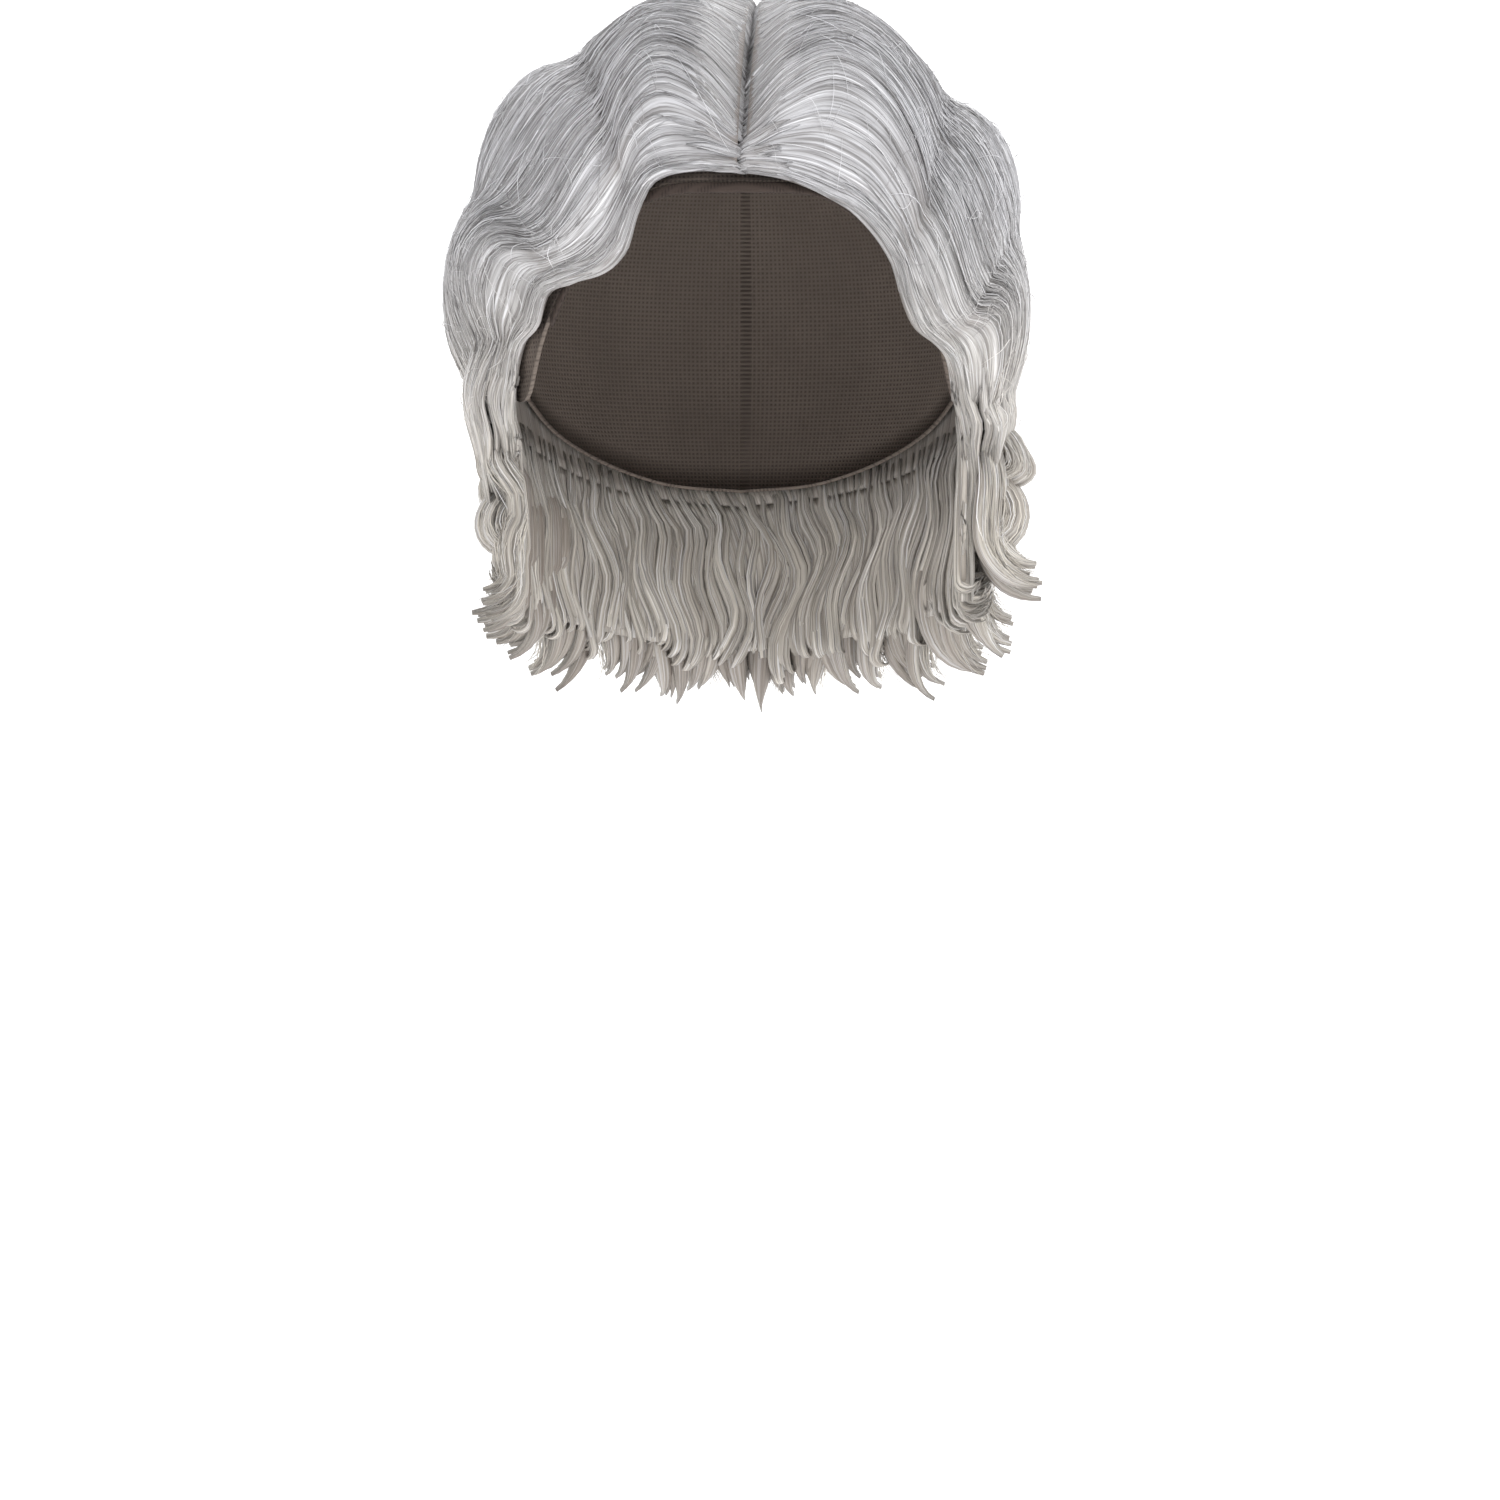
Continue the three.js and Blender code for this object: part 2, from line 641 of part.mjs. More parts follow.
// Distance from the crown over the scalp at which the surface lies a drop below the crown
function reachAt(round, drop) {
  const hang = mix(HANG_SIDE_ANGLE, HANG_BACK_ANGLE, ease(-Math.cos(round)));
  const hangDrop = CROWN_RISE * (1 - Math.cos(hang));
  if (drop < hangDrop) return CROWN_RISE * Math.acos(1 - drop / CROWN_RISE);
  return CROWN_RISE * hang + drop - hangDrop;
}

// Lock of hair: a rounded section swept down, out and round, with grow added all over it
function makeLock(lock, grow) {
  const { rings: stations, turns } = CURLS[lock.curl];
  const length = LOCK_LENGTH * lock.length;
  const step = length / (stations - 1);
  let round = THREE.MathUtils.degToRad(lock.round);
  let reach = reachAt(round, lock.top * WIG_DROP);
  let height = lock.out * LOCK_WIDTH;
  const path = [];
  const across = [];
  for (let station = 0; station < stations; station += 1) {
    const place = (turned) => capPoint(turned, reach / CROWN_RISE, HAIR_INSIDE + height);
    path.push(place(round));
    across.push(place(round + 0.01).sub(place(round - 0.01)).normalize());
    const share = (station + 0.5) / (stations - 1);
    const heading = THREE.MathUtils.degToRad(readTable(turns, 'at', 'heading', share));
    reach += Math.cos(heading) * step;
    height += Math.sin(heading) * step;
    round += THREE.MathUtils.degToRad(lock.swing) / (stations - 1);
  }
  const rings = path.map((centre, station) => {
    const share = station / (stations - 1);
    const before = path[Math.max(station - 1, 0)];
    const after = path[Math.min(station + 1, stations - 1)];
    const tangent = after.clone().sub(before).normalize();
    const lean = tangent.dot(across[station]);
    const side = across[station].clone().addScaledVector(tangent, -lean).normalize();
    const normal = tangent.clone().cross(side);
    const body = mix(LOCK_ROOT, 1, ease(share / LOCK_FULL_FROM))
      * mix(1, LOCK_TIP, ease((share - LOCK_FULL_TO) / (1 - LOCK_FULL_TO)));
    const rounded = station === stations - 1 ? LOCK_TIP : 1;
    const halfWidth = lock.width * LOCK_WIDTH / 2 * body * rounded + grow;
    const halfDepth = lock.deep * LOCK_DEPTH / 2 * Math.sqrt(body) * rounded + grow;
    const ring = [];
    for (let corner = 0; corner < LOCK_SIDES; corner += 1) {
      const angle = (corner + 0.5) / LOCK_SIDES * 2 * Math.PI;
      ring.push(centre.clone()
        .addScaledVector(side, halfWidth * Math.cos(angle))
        .addScaledVector(normal, halfDepth * Math.sin(angle)));
    }
    return ring;
  });
  return toSolid(loft(rings));
}

// Backing of the lowest hair between two roots, with grow added all over it
function makeBacking(from, to, columns, grow) {
  const rows = [];
  for (let column = 0; column <= columns; column += 1) {
    const share = column / columns;
    const root = columnRoot(from - grow, to + grow, share);
    const top = lowerEdge(root, 'panel') + BACKING_GAP - grow;
    const bottom = lowerEdge(root, 'backing') + grow;
    const line = (height) => BACKING_ROWS.map((drop) => (
      hairPoint(root, mix(top, bottom, drop), height)));
    rows.push({ outer: line(SKIRT_WALL + grow), inner: line(-grow) });
  }
  return toSolid(shellLoft(rows));
}

// The space that the neck and the ears keep: everything inside the middle of the backing's wall
function makeClear() {
  const rings = [];
  for (let step = 0; step <= CLEAR_STEPS; step += 1) {
    const drop = mix(CLEAR_FROM, CLEAR_TO, step / CLEAR_STEPS) * WIG_DROP;
    const ring = [];
    for (let column = 0; column < CAP_COLUMNS; column += 1) {
      const round = column / CAP_COLUMNS * 2 * Math.PI;
      ring.push(capPoint(round, reachAt(round, drop) / CROWN_RISE, HAIR_INSIDE + SKIRT_WALL / 2));
    }
    rings.push(ring);
  }
  return toSolid(loft(rings));
}

const clear = makeClear();
const joinAll = (solids) => solids.reduce((sum, solid) => sum.add(solid));
const joinLocks = (name, grow) => (
  joinAll(LOCKS[name].map((lock) => makeLock(lock, grow))).subtract(clear));

const greyHair = new THREE.MeshStandardMaterial({ color: 0xb2b2b4, roughness: 0.42, metalness: 0 });
const capNet = new THREE.MeshStandardMaterial({ color: 0x6b6058, roughness: 0.9, metalness: 0 });
const bandTape = new THREE.MeshStandardMaterial({ color: 0x5a3a2c, roughness: 0.85, metalness: 0 });
const partCloth = new THREE.MeshStandardMaterial({ color: 0x8a7668, roughness: 0.8, metalness: 0 });

const wig = new THREE.Group();
function addPiece(name, geometry, material) {
  const mesh = new THREE.Mesh(geometry, material);
  mesh.name = name;
  wig.add(mesh);
}

const rightSplit = SIDE_RUN + FAN_RADIUS * PANEL_SPLIT;
const leftSplit = ROOT_RUN - rightSplit;
addPiece('cap', makeCap(), capNet);
addPiece('front_band', makeFrontBand(), bandTape);
addPiece('parting_strip', makePartingStrip(), partCloth);
addPiece('wave_panel_right', makePanel(0, rightSplit, SIDE_COLUMNS, PANEL_STATIONS), greyHair);
addPiece('wave_panel_back', makePanel(rightSplit, leftSplit, BACK_COLUMNS, PANEL_STATIONS), greyHair);
addPiece('wave_panel_left', makePanel(leftSplit, ROOT_RUN, SIDE_COLUMNS, PANEL_STATIONS), greyHair);

const backingOf = {
  side_locks_right: (grow) => makeBacking(0, rightSplit, SIDE_COLUMNS, grow),
  side_locks_left: (grow) => makeBacking(leftSplit, ROOT_RUN, SIDE_COLUMNS, grow),
  nape_locks: (grow) => makeBacking(rightSplit, leftSplit, BACK_COLUMNS, grow),
};
const joinGroup = (name, grow) => joinLocks(name, grow).add(backingOf[name](grow));
const earCurls = ['ear_curl_right', 'ear_curl_left'];
const grownCurls = joinAll(earCurls.map((name) => joinLocks(name, SEAT_GAP)));
const grownSides = joinGroup('side_locks_right', SEAT_GAP).add(joinGroup('side_locks_left', SEAT_GAP));
const rightLocks = joinGroup('side_locks_right', 0).subtract(grownCurls);
const leftLocks = joinGroup('side_locks_left', 0).subtract(grownCurls);
const napeLocks = joinGroup('nape_locks', 0).subtract(grownSides);
earCurls.forEach((name) => addPiece(name, fromSolid(joinLocks(name, 0)), greyHair));
addPiece('side_locks_right', fromSolid(rightLocks), greyHair);
addPiece('side_locks_left', fromSolid(leftLocks), greyHair);
addPiece('nape_locks', fromSolid(napeLocks), greyHair);

export default wig;
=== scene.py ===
"""A finger wave wig: combed wave panels, curls and turned-up locks over a fitted net cap.

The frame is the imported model, in metres: +Z up, the hairline faces -Y, the wearer's left is +X.
The shapes below work in millimetres and are scaled once, when a mesh is made.
"""

import bpy
import numpy as np
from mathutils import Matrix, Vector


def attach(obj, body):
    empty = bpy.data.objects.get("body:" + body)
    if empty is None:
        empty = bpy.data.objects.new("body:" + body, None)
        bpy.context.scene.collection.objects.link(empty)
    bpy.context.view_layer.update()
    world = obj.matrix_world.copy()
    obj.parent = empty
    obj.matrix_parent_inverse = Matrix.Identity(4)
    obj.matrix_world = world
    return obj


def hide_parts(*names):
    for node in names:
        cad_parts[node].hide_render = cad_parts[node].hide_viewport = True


bl_info = {
    "name": "Finger wave wig",
    "version": (1, 0, 0),
    "blender": (4, 5, 0),
    "location": "View3D > Sidebar > Wig",
    "description": "Builds the hair, the cap and the studio of a finger wave wig",
    "category": "Add Mesh",
}

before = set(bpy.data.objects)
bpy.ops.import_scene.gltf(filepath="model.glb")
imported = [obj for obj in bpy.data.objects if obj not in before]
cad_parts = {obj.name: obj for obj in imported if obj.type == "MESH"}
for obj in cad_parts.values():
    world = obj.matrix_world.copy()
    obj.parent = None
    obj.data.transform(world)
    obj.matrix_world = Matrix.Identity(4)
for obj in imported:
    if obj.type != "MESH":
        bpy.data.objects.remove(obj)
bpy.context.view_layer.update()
BODY = "root"
MM = 0.001

# Head that the cap fits, in millimetres
HEAD_HALF_WIDTH = 75
HEAD_FRONT = 92.5
HEAD_BACK = 98
CROWN_RISE = 88
HANG_SIDE_ANGLE = 1.95
HANG_BACK_ANGLE = 2.15
HANG_INWARD = 0.3
SKIRT_DROP = 22

# Cap, front band and parting strip
CAP_WALL = 1.5
SEAT_GAP = 0.3
FACET_ROOM = 1.5
BAND_HEIGHT = 3.2
BAND_WALL = 1.2
BAND_HALF_ANGLE = 6 / 44 * 2 * np.pi
PART_WIDTH = 2.6
STRIP_HEIGHT = 1.6
CAP_EDGE = np.array([
    (0, 65), (22, 66.5), (38, 77), (50, 92), (62, 106), (72, 106),
    (84, 98), (105, 99), (125, 112), (155, 122), (180, 124),
])

# Centre part and hair
PART_FRONT = 99
PART_BACK = 12
PART_BEND = 5
HAIR_DEPTH = 12
HAIR_INSIDE = CAP_WALL + SEAT_GAP + FACET_ROOM
PANEL_DROP = 162
WAVE_SWING = 17
SWING_RAMP = 32
SIDE_CALM = 0.25
EDGE_BLEND = 26
EDGE_TAPER = 15
PART_TAPER = 14
PART_DEPTH = 3.4
CROWN_DEPTH = 8
CREST_EARLY = 0.8
OVER_LOCKS = 10
BACK_SWEEP = 9
SWEEP_RUN = 10
FAN_RADIUS = 45
FAN_START = 3
PANEL_SPLIT = 0.9
SKIRT_WALL = 2.4
WIG_DROP = 200
LOCK_LENGTH = 40
LOCK_WIDTH = 25
LOCK_DEPTH = 11
LOCK_TIP = 0.5
SIDE_RUN = PART_FRONT + PART_BACK
FAN_RUN = np.pi * FAN_RADIUS
ROOT_RUN = 2 * SIDE_RUN + FAN_RUN
RIGHT_SPLIT = SIDE_RUN + FAN_RADIUS * PANEL_SPLIT
LEFT_SPLIT = ROOT_RUN - RIGHT_SPLIT

# Waves: share of PANEL_DROP along the hairline and beside the ear, trough and crest depth
WAVES = {
    "right": np.array([
        (0, 0, 0.75, 1.04), (0.28, 0.34, 0.63, 1.33), (0.53, 0.65, 0.85, 1.12),
        (0.77, 0.99, 0.48, 0.92), (1.05, 1.33, 0.67, 0.92), (1.4, 1.7, 0.67, 0.92),
    ]),
    "left": np.array([
        (0, 0, 0.75, 1.13), (0.46, 0.44, 0.66, 1.34), (0.69, 0.72, 0.81, 0.85),
        (0.93, 0.99, 0.52, 0.95), (1.17, 1.27, 0.67, 0.95), (1.5, 1.6, 0.67, 0.95),
    ]),
}

# Hairline: share of PANEL_DROP, distance behind the front of the part, edge depth
HAIRLINES = {
    "right": np.array([
        (0, 0, 0.25), (0.11, 0.025, 0.25), (0.225, 0.045, 0.28), (0.275, -0.015, 0.42),
        (0.33, -0.11, 0.58), (0.41, -0.11, 0.58), (0.52, -0.015, 0.5), (0.605, 0.08, 0.35),
        (0.68, 0.09, 0.3), (0.76, 0.185, 0.3), (0.86, 0.26, 0.3), (1, 0.42, 0.35),
        (1.2, 0.52, 0.35), (1.55, 0.62, 0.35),
    ]),
    "left": np.array([
        (0, 0, 0.25), (0.22, -0.005, 0.25), (0.32, 0, 0.3), (0.45, -0.03, 0.35),
        (0.51, -0.085, 0.4), (0.57, -0.095, 0.4), (0.62, -0.065, 0.35), (0.75, 0.075, 0.3),
        (0.865, 0.15, 0.3), (0.96, 0.28, 0.35), (1.05, 0.43, 0.35), (1.2, 0.52, 0.35),
        (1.55, 0.62, 0.35),
    ]),
}

# Lower edges: share of half the root line, panel and backing as shares of PANEL_DROP
LOWER_EDGES = np.array([
    (0, 0.97, 1.33), (0.3, 1, 1.36), (0.6, 1.02, 1.38), (0.8, 1.09, 1.4), (1, 1.12, 1.42),
])

# How a lock curls: shares of its length, and its heading in degrees from straight down to outward
CURLS = {
    "under": np.array([(0, 24), (0.3, 8), (0.6, -35), (1, -85)]),
    "ring": np.array([(0, 66), (0.15, 55), (0.38, -25), (0.6, -125), (0.8, -215), (1, -290)]),
    "roll": np.array([(0, 60), (0.3, 20), (0.55, -62), (0.8, -145), (1, -210)]),
    "wave": np.array([
        (0, 10), (0.14, -22), (0.3, -22), (0.4, 8), (0.5, 32), (0.62, 2), (0.72, -10), (0.84, 32),
        (1, 82),
    ]),
    "sway": np.array([(0, 16), (0.2, 8), (0.42, -14), (0.6, -6), (0.78, 24), (1, 76)]),
    "flare": np.array([(0, 16), (0.2, 10), (0.42, -4), (0.58, 8), (0.78, 42), (1, 88)]),
    "tier": np.array([(0, 24), (0.25, 12), (0.5, -16), (0.72, 0), (0.86, 30), (1, 66)]),
}

# Locks: curl, round from the front in degrees, top, out, length, width, deep, swing in degrees
LOCKS = {
    "ear_curl_right": [
        ("under", -86, 0.592, 0.15, 0.8, 1.35, 0.7, 2),
    ],
    "ear_curl_left": [
        ("ring", 87, 0.592, 0.2, 1.18, 1.2, 0.62, 2),
    ],
    "side_locks_right": [
        ("wave", -81, 0.63, 0.18, 1.46, 1.25, 0.78, 2),
        ("wave", -98, 0.625, 0.2, 1.57, 1.3, 0.82, 4),
        ("wave", -115, 0.66, 0.24, 1.56, 1.3, 0.85, 4),
        ("sway", -131, 0.708, 0.25, 1.5, 1.3, 0.85, 3),
        ("under", -108, 0.638, 0.27, 0.8, 1.3, 0.75, 0),
        ("roll", -88, 0.71, 0.05, 0.76, 1.2, 0.68, 3),
    ],
    "side_locks_left": [
        ("flare", 82, 0.62, 0.22, 1.38, 1.25, 0.85, 3),
        ("sway", 98, 0.625, 0.24, 1.69, 1.3, 0.88, 4),
        ("sway", 115, 0.66, 0.25, 1.73, 1.3, 0.88, 3),
        ("sway", 131, 0.708, 0.25, 1.6, 1.3, 0.85, 2),
        ("roll", 107, 0.642, 0.3, 0.86, 1.3, 0.75, 0),
        ("roll", 88, 0.68, 0.22, 1.02, 1.25, 0.78, 0),
    ],
    "nape_locks": [
        ("sway", 148, 0.725, 0.25, 1.5, 1.4, 0.85, 3),
        ("sway", 164, 0.738, 0.25, 1.48, 1.4, 0.9, 3),
        ("sway", 180, 0.744, 0.25, 1.48, 1.4, 0.9, -2),
        ("sway", 196, 0.742, 0.25, 1.46, 1.4, 0.9, -3),
        ("sway", 212, 0.735, 0.25, 1.42, 1.4, 0.85, -3),
        ("tier", 157, 0.74, 0.3, 0.84, 1.55, 0.8, 2),
        ("tier", 181, 0.746, 0.3, 0.9, 1.6, 0.8, 2),
        ("tier", 204, 0.743, 0.3, 0.84, 1.55, 0.8, -2),
    ],
}


def mix(a, b, share):
    """a where share is 0, b where it is 1, and in proportion between."""
    return a + (b - a) * share


def ease(value):
    """Smooth step from 0 to 1: 3t^2 - 2t^3 of the clamped value."""
    t = np.clip(value, 0, 1)
    return t * t * (3 - 2 * t)


def unit(vectors):
    """Each vector divided by its length."""
    return vectors / np.maximum(np.linalg.norm(vectors, axis=-1, keepdims=True), 1e-9)


def read_table(table, column, at):
    """A column at a place: a cubic through the rows, whose slope at a row is its neighbours' chord."""
    x = table[:, 0]
    y = table[:, column]
    before = np.maximum(np.arange(len(x)) - 1, 0)
    after = np.minimum(np.arange(len(x)) + 1, len(x) - 1)
    slope = (y[after] - y[before]) / (x[after] - x[before])
    i = np.clip(np.searchsorted(x, at, side="right") - 1, 0, len(x) - 2)
    span = x[i + 1] - x[i]
    t = np.clip((at - x[i]) / span, 0, 1)
    return (
        (2 * t**3 - 3 * t**2 + 1) * y[i]
        + (t**3 - 2 * t**2 + t) * span * slope[i]
        + (3 * t**2 - 2 * t**3) * y[i + 1]
        + (t**3 - t**2) * span * slope[i + 1]
    )


def head_frame(x, y):
    """Point and outward normal on the head.

    The reach from the crown over the scalp is an angle on an ellipsoid; past the hang angle the
    point runs down, leaning a little inward, and its normal turns level.
    """
    x, y = np.broadcast_arrays(np.asarray(x, float), np.asarray(y, float))
    reach = np.hypot(x, y)
    round_x = x / np.maximum(reach, 1e-9)
    round_y = y / np.maximum(reach, 1e-9)
    angle = reach / CROWN_RISE
    hang = mix(HANG_SIDE_ANGLE, HANG_BACK_ANGLE, ease(round_y))
    down = np.minimum(angle, hang)
    below = np.maximum(angle - hang, 0) * CROWN_RISE
    depth = np.where(round_y < 0, HEAD_FRONT, HEAD_BACK)
    normal = unit(np.stack([
        np.sin(down) * round_x / HEAD_HALF_WIDTH,
        np.sin(down) * round_y / depth,
        np.cos(down) / CROWN_RISE,
    ], -1))
    normal[..., 2] *= 1 - ease(below / SKIRT_DROP)
    normal = unit(normal)
    inward = HANG_INWARD * below / (1 + below / SKIRT_DROP)
    point = np.stack([
        (HEAD_HALF_WIDTH * np.sin(down) - inward) * round_x,
        (depth * np.sin(down) - inward) * round_y,
        CROWN_RISE * (np.cos(down) - 1) - below,
    ], -1)
    return point, normal


def head_point(x, y, height):
    """The head's point moved out along its normal by a height."""
    point, normal = head_frame(x, y)
    return point + normal * np.asarray(height, float)[..., None]


def root_place(root):
    """Distance behind the front edge, whether the root is on the right, share round the fan, and
    share towards the hairline."""
    from_front = np.minimum(root, ROOT_RUN - root)
    is_right = root < ROOT_RUN / 2
    round_fan = np.clip((root - SIDE_RUN) / FAN_RUN, 0, 1)
    to_hairline = np.clip(1 - from_front / (PART_FRONT - PART_BACK), 0, 1)
    return from_front, is_right, round_fan, to_hairline


def waves_passed(waves, to_hairline, distance):
    """Waves passed at a distance: the trough before it plus the share of the way to the next."""
    at = PANEL_DROP * mix(waves[:, 1], waves[:, 0], to_hairline[..., None])
    row = (distance[..., None] > at[..., 1:-1]).sum(-1)
    low = np.take_along_axis(at, row[..., None], -1)[..., 0]
    high = np.take_along_axis(at, row[..., None] + 1, -1)[..., 0]
    return row + (distance - low) / (high - low)


def wave_count(root, distance):
    """Right waves passed, turning round the fan into one more than the left waves passed."""
    _, _, round_fan, to_hairline = root_place(root)
    right = waves_passed(WAVES["right"], to_hairline, distance)
    left = 1 + waves_passed(WAVES["left"], to_hairline, distance)
    return mix(right, left, ease(round_fan))


def strand(root, distance):
    """Place of a strand on the scalp: straight away from its root, plus a sine of the wave count
    sideways, and along the hairline near the front edge."""
    root, distance = np.broadcast_arrays(np.asarray(root, float), np.asarray(distance, float))
    from_front, is_right, round_fan, to_hairline = root_place(root)
    turn = round_fan * np.pi
    away = (-np.cos(turn), np.sin(turn))
    along = (np.sin(turn), np.cos(turn))
    calm = ease((distance / PANEL_DROP - 0.68) / 0.3) * ease(np.abs(1 - 2 * round_fan))
    swing = WAVE_SWING * ease(distance / SWING_RAMP) * mix(1, SIDE_CALM, calm)
    swing = swing * np.sin(np.pi * wave_count(root, distance))
    hairline = PART_FRONT * np.where(
        is_right,
        read_table(HAIRLINES["right"], 1, distance / PANEL_DROP),
        read_table(HAIRLINES["left"], 1, distance / PANEL_DROP),
    )
    recession = np.maximum(hairline, 0) * ease(distance / PANEL_DROP)
    sign = np.where(is_right, 1, -1)
    free = ease(from_front / EDGE_BLEND)
    near = sign * mix(hairline, sign * swing + recession * (1 - from_front / SIDE_RUN), free)
    shift = np.where(from_front < SIDE_RUN, near, swing)
    root_y = np.where(from_front < SIDE_RUN, from_front - PART_FRONT, PART_BACK)
    bend = PART_BEND * (1 - to_hairline) * (1 - ease(distance / EDGE_BLEND))
    return (
        bend + away[0] * distance + along[0] * shift,
        root_y + away[1] * distance + along[1] * shift,
    )


def swept(root, distance):
    """Shift of a combed line that leaves the part slanting back: A (exp(-d / L) - 1) of root, with
    no shift at the hairline and at the crown."""
    from_front, is_right, _, _ = root_place(root)
    amount = BACK_SWEEP * ease(from_front / 24) * ease((95 - from_front) / 40)
    return np.where(is_right, 1, -1) * amount * (np.exp(-np.maximum(distance, 0) / SWEEP_RUN) - 1)


def swept_root(line, distance):
    """Root under which a combed line lies at a distance: line - swept(root), by fixed point."""
    root = line
    for _ in range(4):
        root = line - swept(root, distance)
    return root


def hair_depth(root, distance):
    """Depth of the hair: trough depth to crest depth by a sine between troughs, thin at the
    hairline and at the part."""
    root, distance = np.broadcast_arrays(np.asarray(root, float), np.asarray(distance, float))
    from_front, is_right, round_fan, to_hairline = root_place(root)
    count = wave_count(root, distance)
    level = np.maximum(count - ease(round_fan), 0)
    row = np.minimum(level.astype(int), len(WAVES["right"]) - 2)
    share = np.clip(level - row, 0, 1)

    def read(column, weight):
        sides = [mix(WAVES[name][row, column], WAVES[name][row + 1, column], weight)
                 for name in ("right", "left")]
        return mix(sides[0], sides[1], ease(round_fan))

    crest = np.sin(np.pi * (count - np.floor(count)) ** CREST_EARLY)
    full = HAIR_DEPTH * mix(read(2, share), read(3, ease(4 * share - 3)), crest)
    edge = HAIR_DEPTH * np.where(
        is_right,
        read_table(HAIRLINES["right"], 2, distance / PANEL_DROP),
        read_table(HAIRLINES["left"], 2, distance / PANEL_DROP),
    )
    at_hairline = mix(edge, full, ease(from_front / EDGE_TAPER))
    at_part = mix(PART_DEPTH, CROWN_DEPTH, ease(1.3 - 1.6 * to_hairline))
    low = np.minimum(at_part, at_hairline)
    return mix(low, at_hairline, ease(distance / PART_TAPER))


def hair_point(root, distance, height):
    """Place in space of a root, a distance down its strand and a height over the cap."""
    x, y = strand(root, distance)
    return head_point(x, y, HAIR_INSIDE + height)


def lower_edge(root, column):
    """Distance down a strand to the panels' lower edge (1) or the backing's (2)."""
    place = np.minimum(root, ROOT_RUN - root) / (ROOT_RUN / 2)
    return PANEL_DROP * read_table(LOWER_EDGES, column, place)


def part_edge(root):
    """Distance from the part at which a strand's hair starts."""
    beside = PART_WIDTH / 2 + SEAT_GAP
    in_fan = ease((root - SIDE_RUN + 20) / 20) * ease((ROOT_RUN - SIDE_RUN + 20 - root) / 20)
    return mix(beside, FAN_START, in_fan)


def smooth_noise(x, y, seed):
    """Value noise: random numbers on a square lattice, joined by smooth steps, from -1 to 1."""
    table = np.random.default_rng(seed).uniform(-1, 1, (256, 256))
    x, y = np.broadcast_arrays(np.asarray(x, float), np.asarray(y, float))
    x0 = np.floor(x).astype(int)
    y0 = np.floor(y).astype(int)
    tx = ease(x - x0)
    ty = ease(y - y0)
    near = mix(table[x0 % 256, y0 % 256], table[(x0 + 1) % 256, y0 % 256], tx)
    far = mix(table[x0 % 256, (y0 + 1) % 256], table[(x0 + 1) % 256, (y0 + 1) % 256], tx)
    return mix(near, far, ty)


def comb_relief(across, along, spread, seed):
    """Grooves of combed hair: long noise cells, wide ones for locks and narrow ones for strands,
    with narrower cells where the roots spread out."""
    wide = smooth_noise(across * 0.2, along * 0.018, seed)
    middle = smooth_noise(across * 0.55, along * 0.022, seed + 1)
    fine = smooth_noise(across * 1.3, along * 0.03, seed + 2)
    finer = smooth_noise(across * 2.8, along * 0.035, seed + 3)
    opened = ease((spread - 1.3) / 1.6)
    return 0.26 * wide + mix(0.24, 0.34, opened) * middle + 0.26 * fine + 0.2 * opened * finer


def make_mesh(name, points, quads, triangles, material, fields):
    """A closed mesh from points in millimetres, with its flow, shade and warmth fields."""
    mesh = bpy.data.meshes.new(name)
    corners = np.concatenate([np.ravel(quads), np.ravel(triangles)]).astype(np.int32)
    counts = np.concatenate([np.full(len(quads), 4), np.full(len(triangles), 3)]).astype(np.int32)
    mesh.vertices.add(len(points))
    mesh.loops.add(len(corners))
    mesh.polygons.add(len(counts))
    mesh.vertices.foreach_set("co", (points * MM).astype(np.float32).ravel())
    mesh.loops.foreach_set("vertex_index", corners)
    starts = np.concatenate([[0], np.cumsum(counts)[:-1]]).astype(np.int32)
    mesh.polygons.foreach_set("loop_start", starts)
    mesh.polygons.foreach_set("use_smooth", np.ones(len(counts), bool))
    for field, values in fields.items():
        if np.ndim(values) == 2:
            layer = mesh.attributes.new(field, "FLOAT_VECTOR", "POINT")
            layer.data.foreach_set("vector", np.asarray(values, np.float32).ravel())
        else:
            layer = mesh.attributes.new(field, "FLOAT", "POINT")
            layer.data.foreach_set("value", np.asarray(values, np.float32).ravel())
    mesh.update(calc_edges=True)
    mesh.validate()
    mesh.materials.append(material)
    piece = bpy.data.objects.new(name, mesh)
    bpy.context.scene.collection.objects.link(piece)
    return piece


def grid_quads(rows, columns, start=0, closed=False):
    """Four corners of each cell of a grid of points, in rows; closed joins the last column to the
    first."""
    index = start + np.arange(rows * columns).reshape(rows, columns)
    right = np.roll(index, -1, 1) if closed else index[:, 1:]
    here = index if closed else index[:, :-1]
    return np.stack([here[:-1], right[:-1], right[1:], here[1:]], -1).reshape(-1, 4)


def outward(points, quads, triangles):
    """The faces, turned over where their enclosed volume comes out negative."""
    quads = np.asarray(quads, int).reshape(-1, 4)
    triangles = np.asarray(triangles, int).reshape(-1, 3)
    faces = np.concatenate([quads[:, [0, 1, 2]], quads[:, [0, 2, 3]], triangles])
    a, b, c = (points[faces[:, corner]] for corner in range(3))
    if np.einsum("ij,ij->i", a, np.cross(b, c)).sum() < 0:
        return quads[:, ::-1], triangles[:, ::-1]
    return quads, triangles


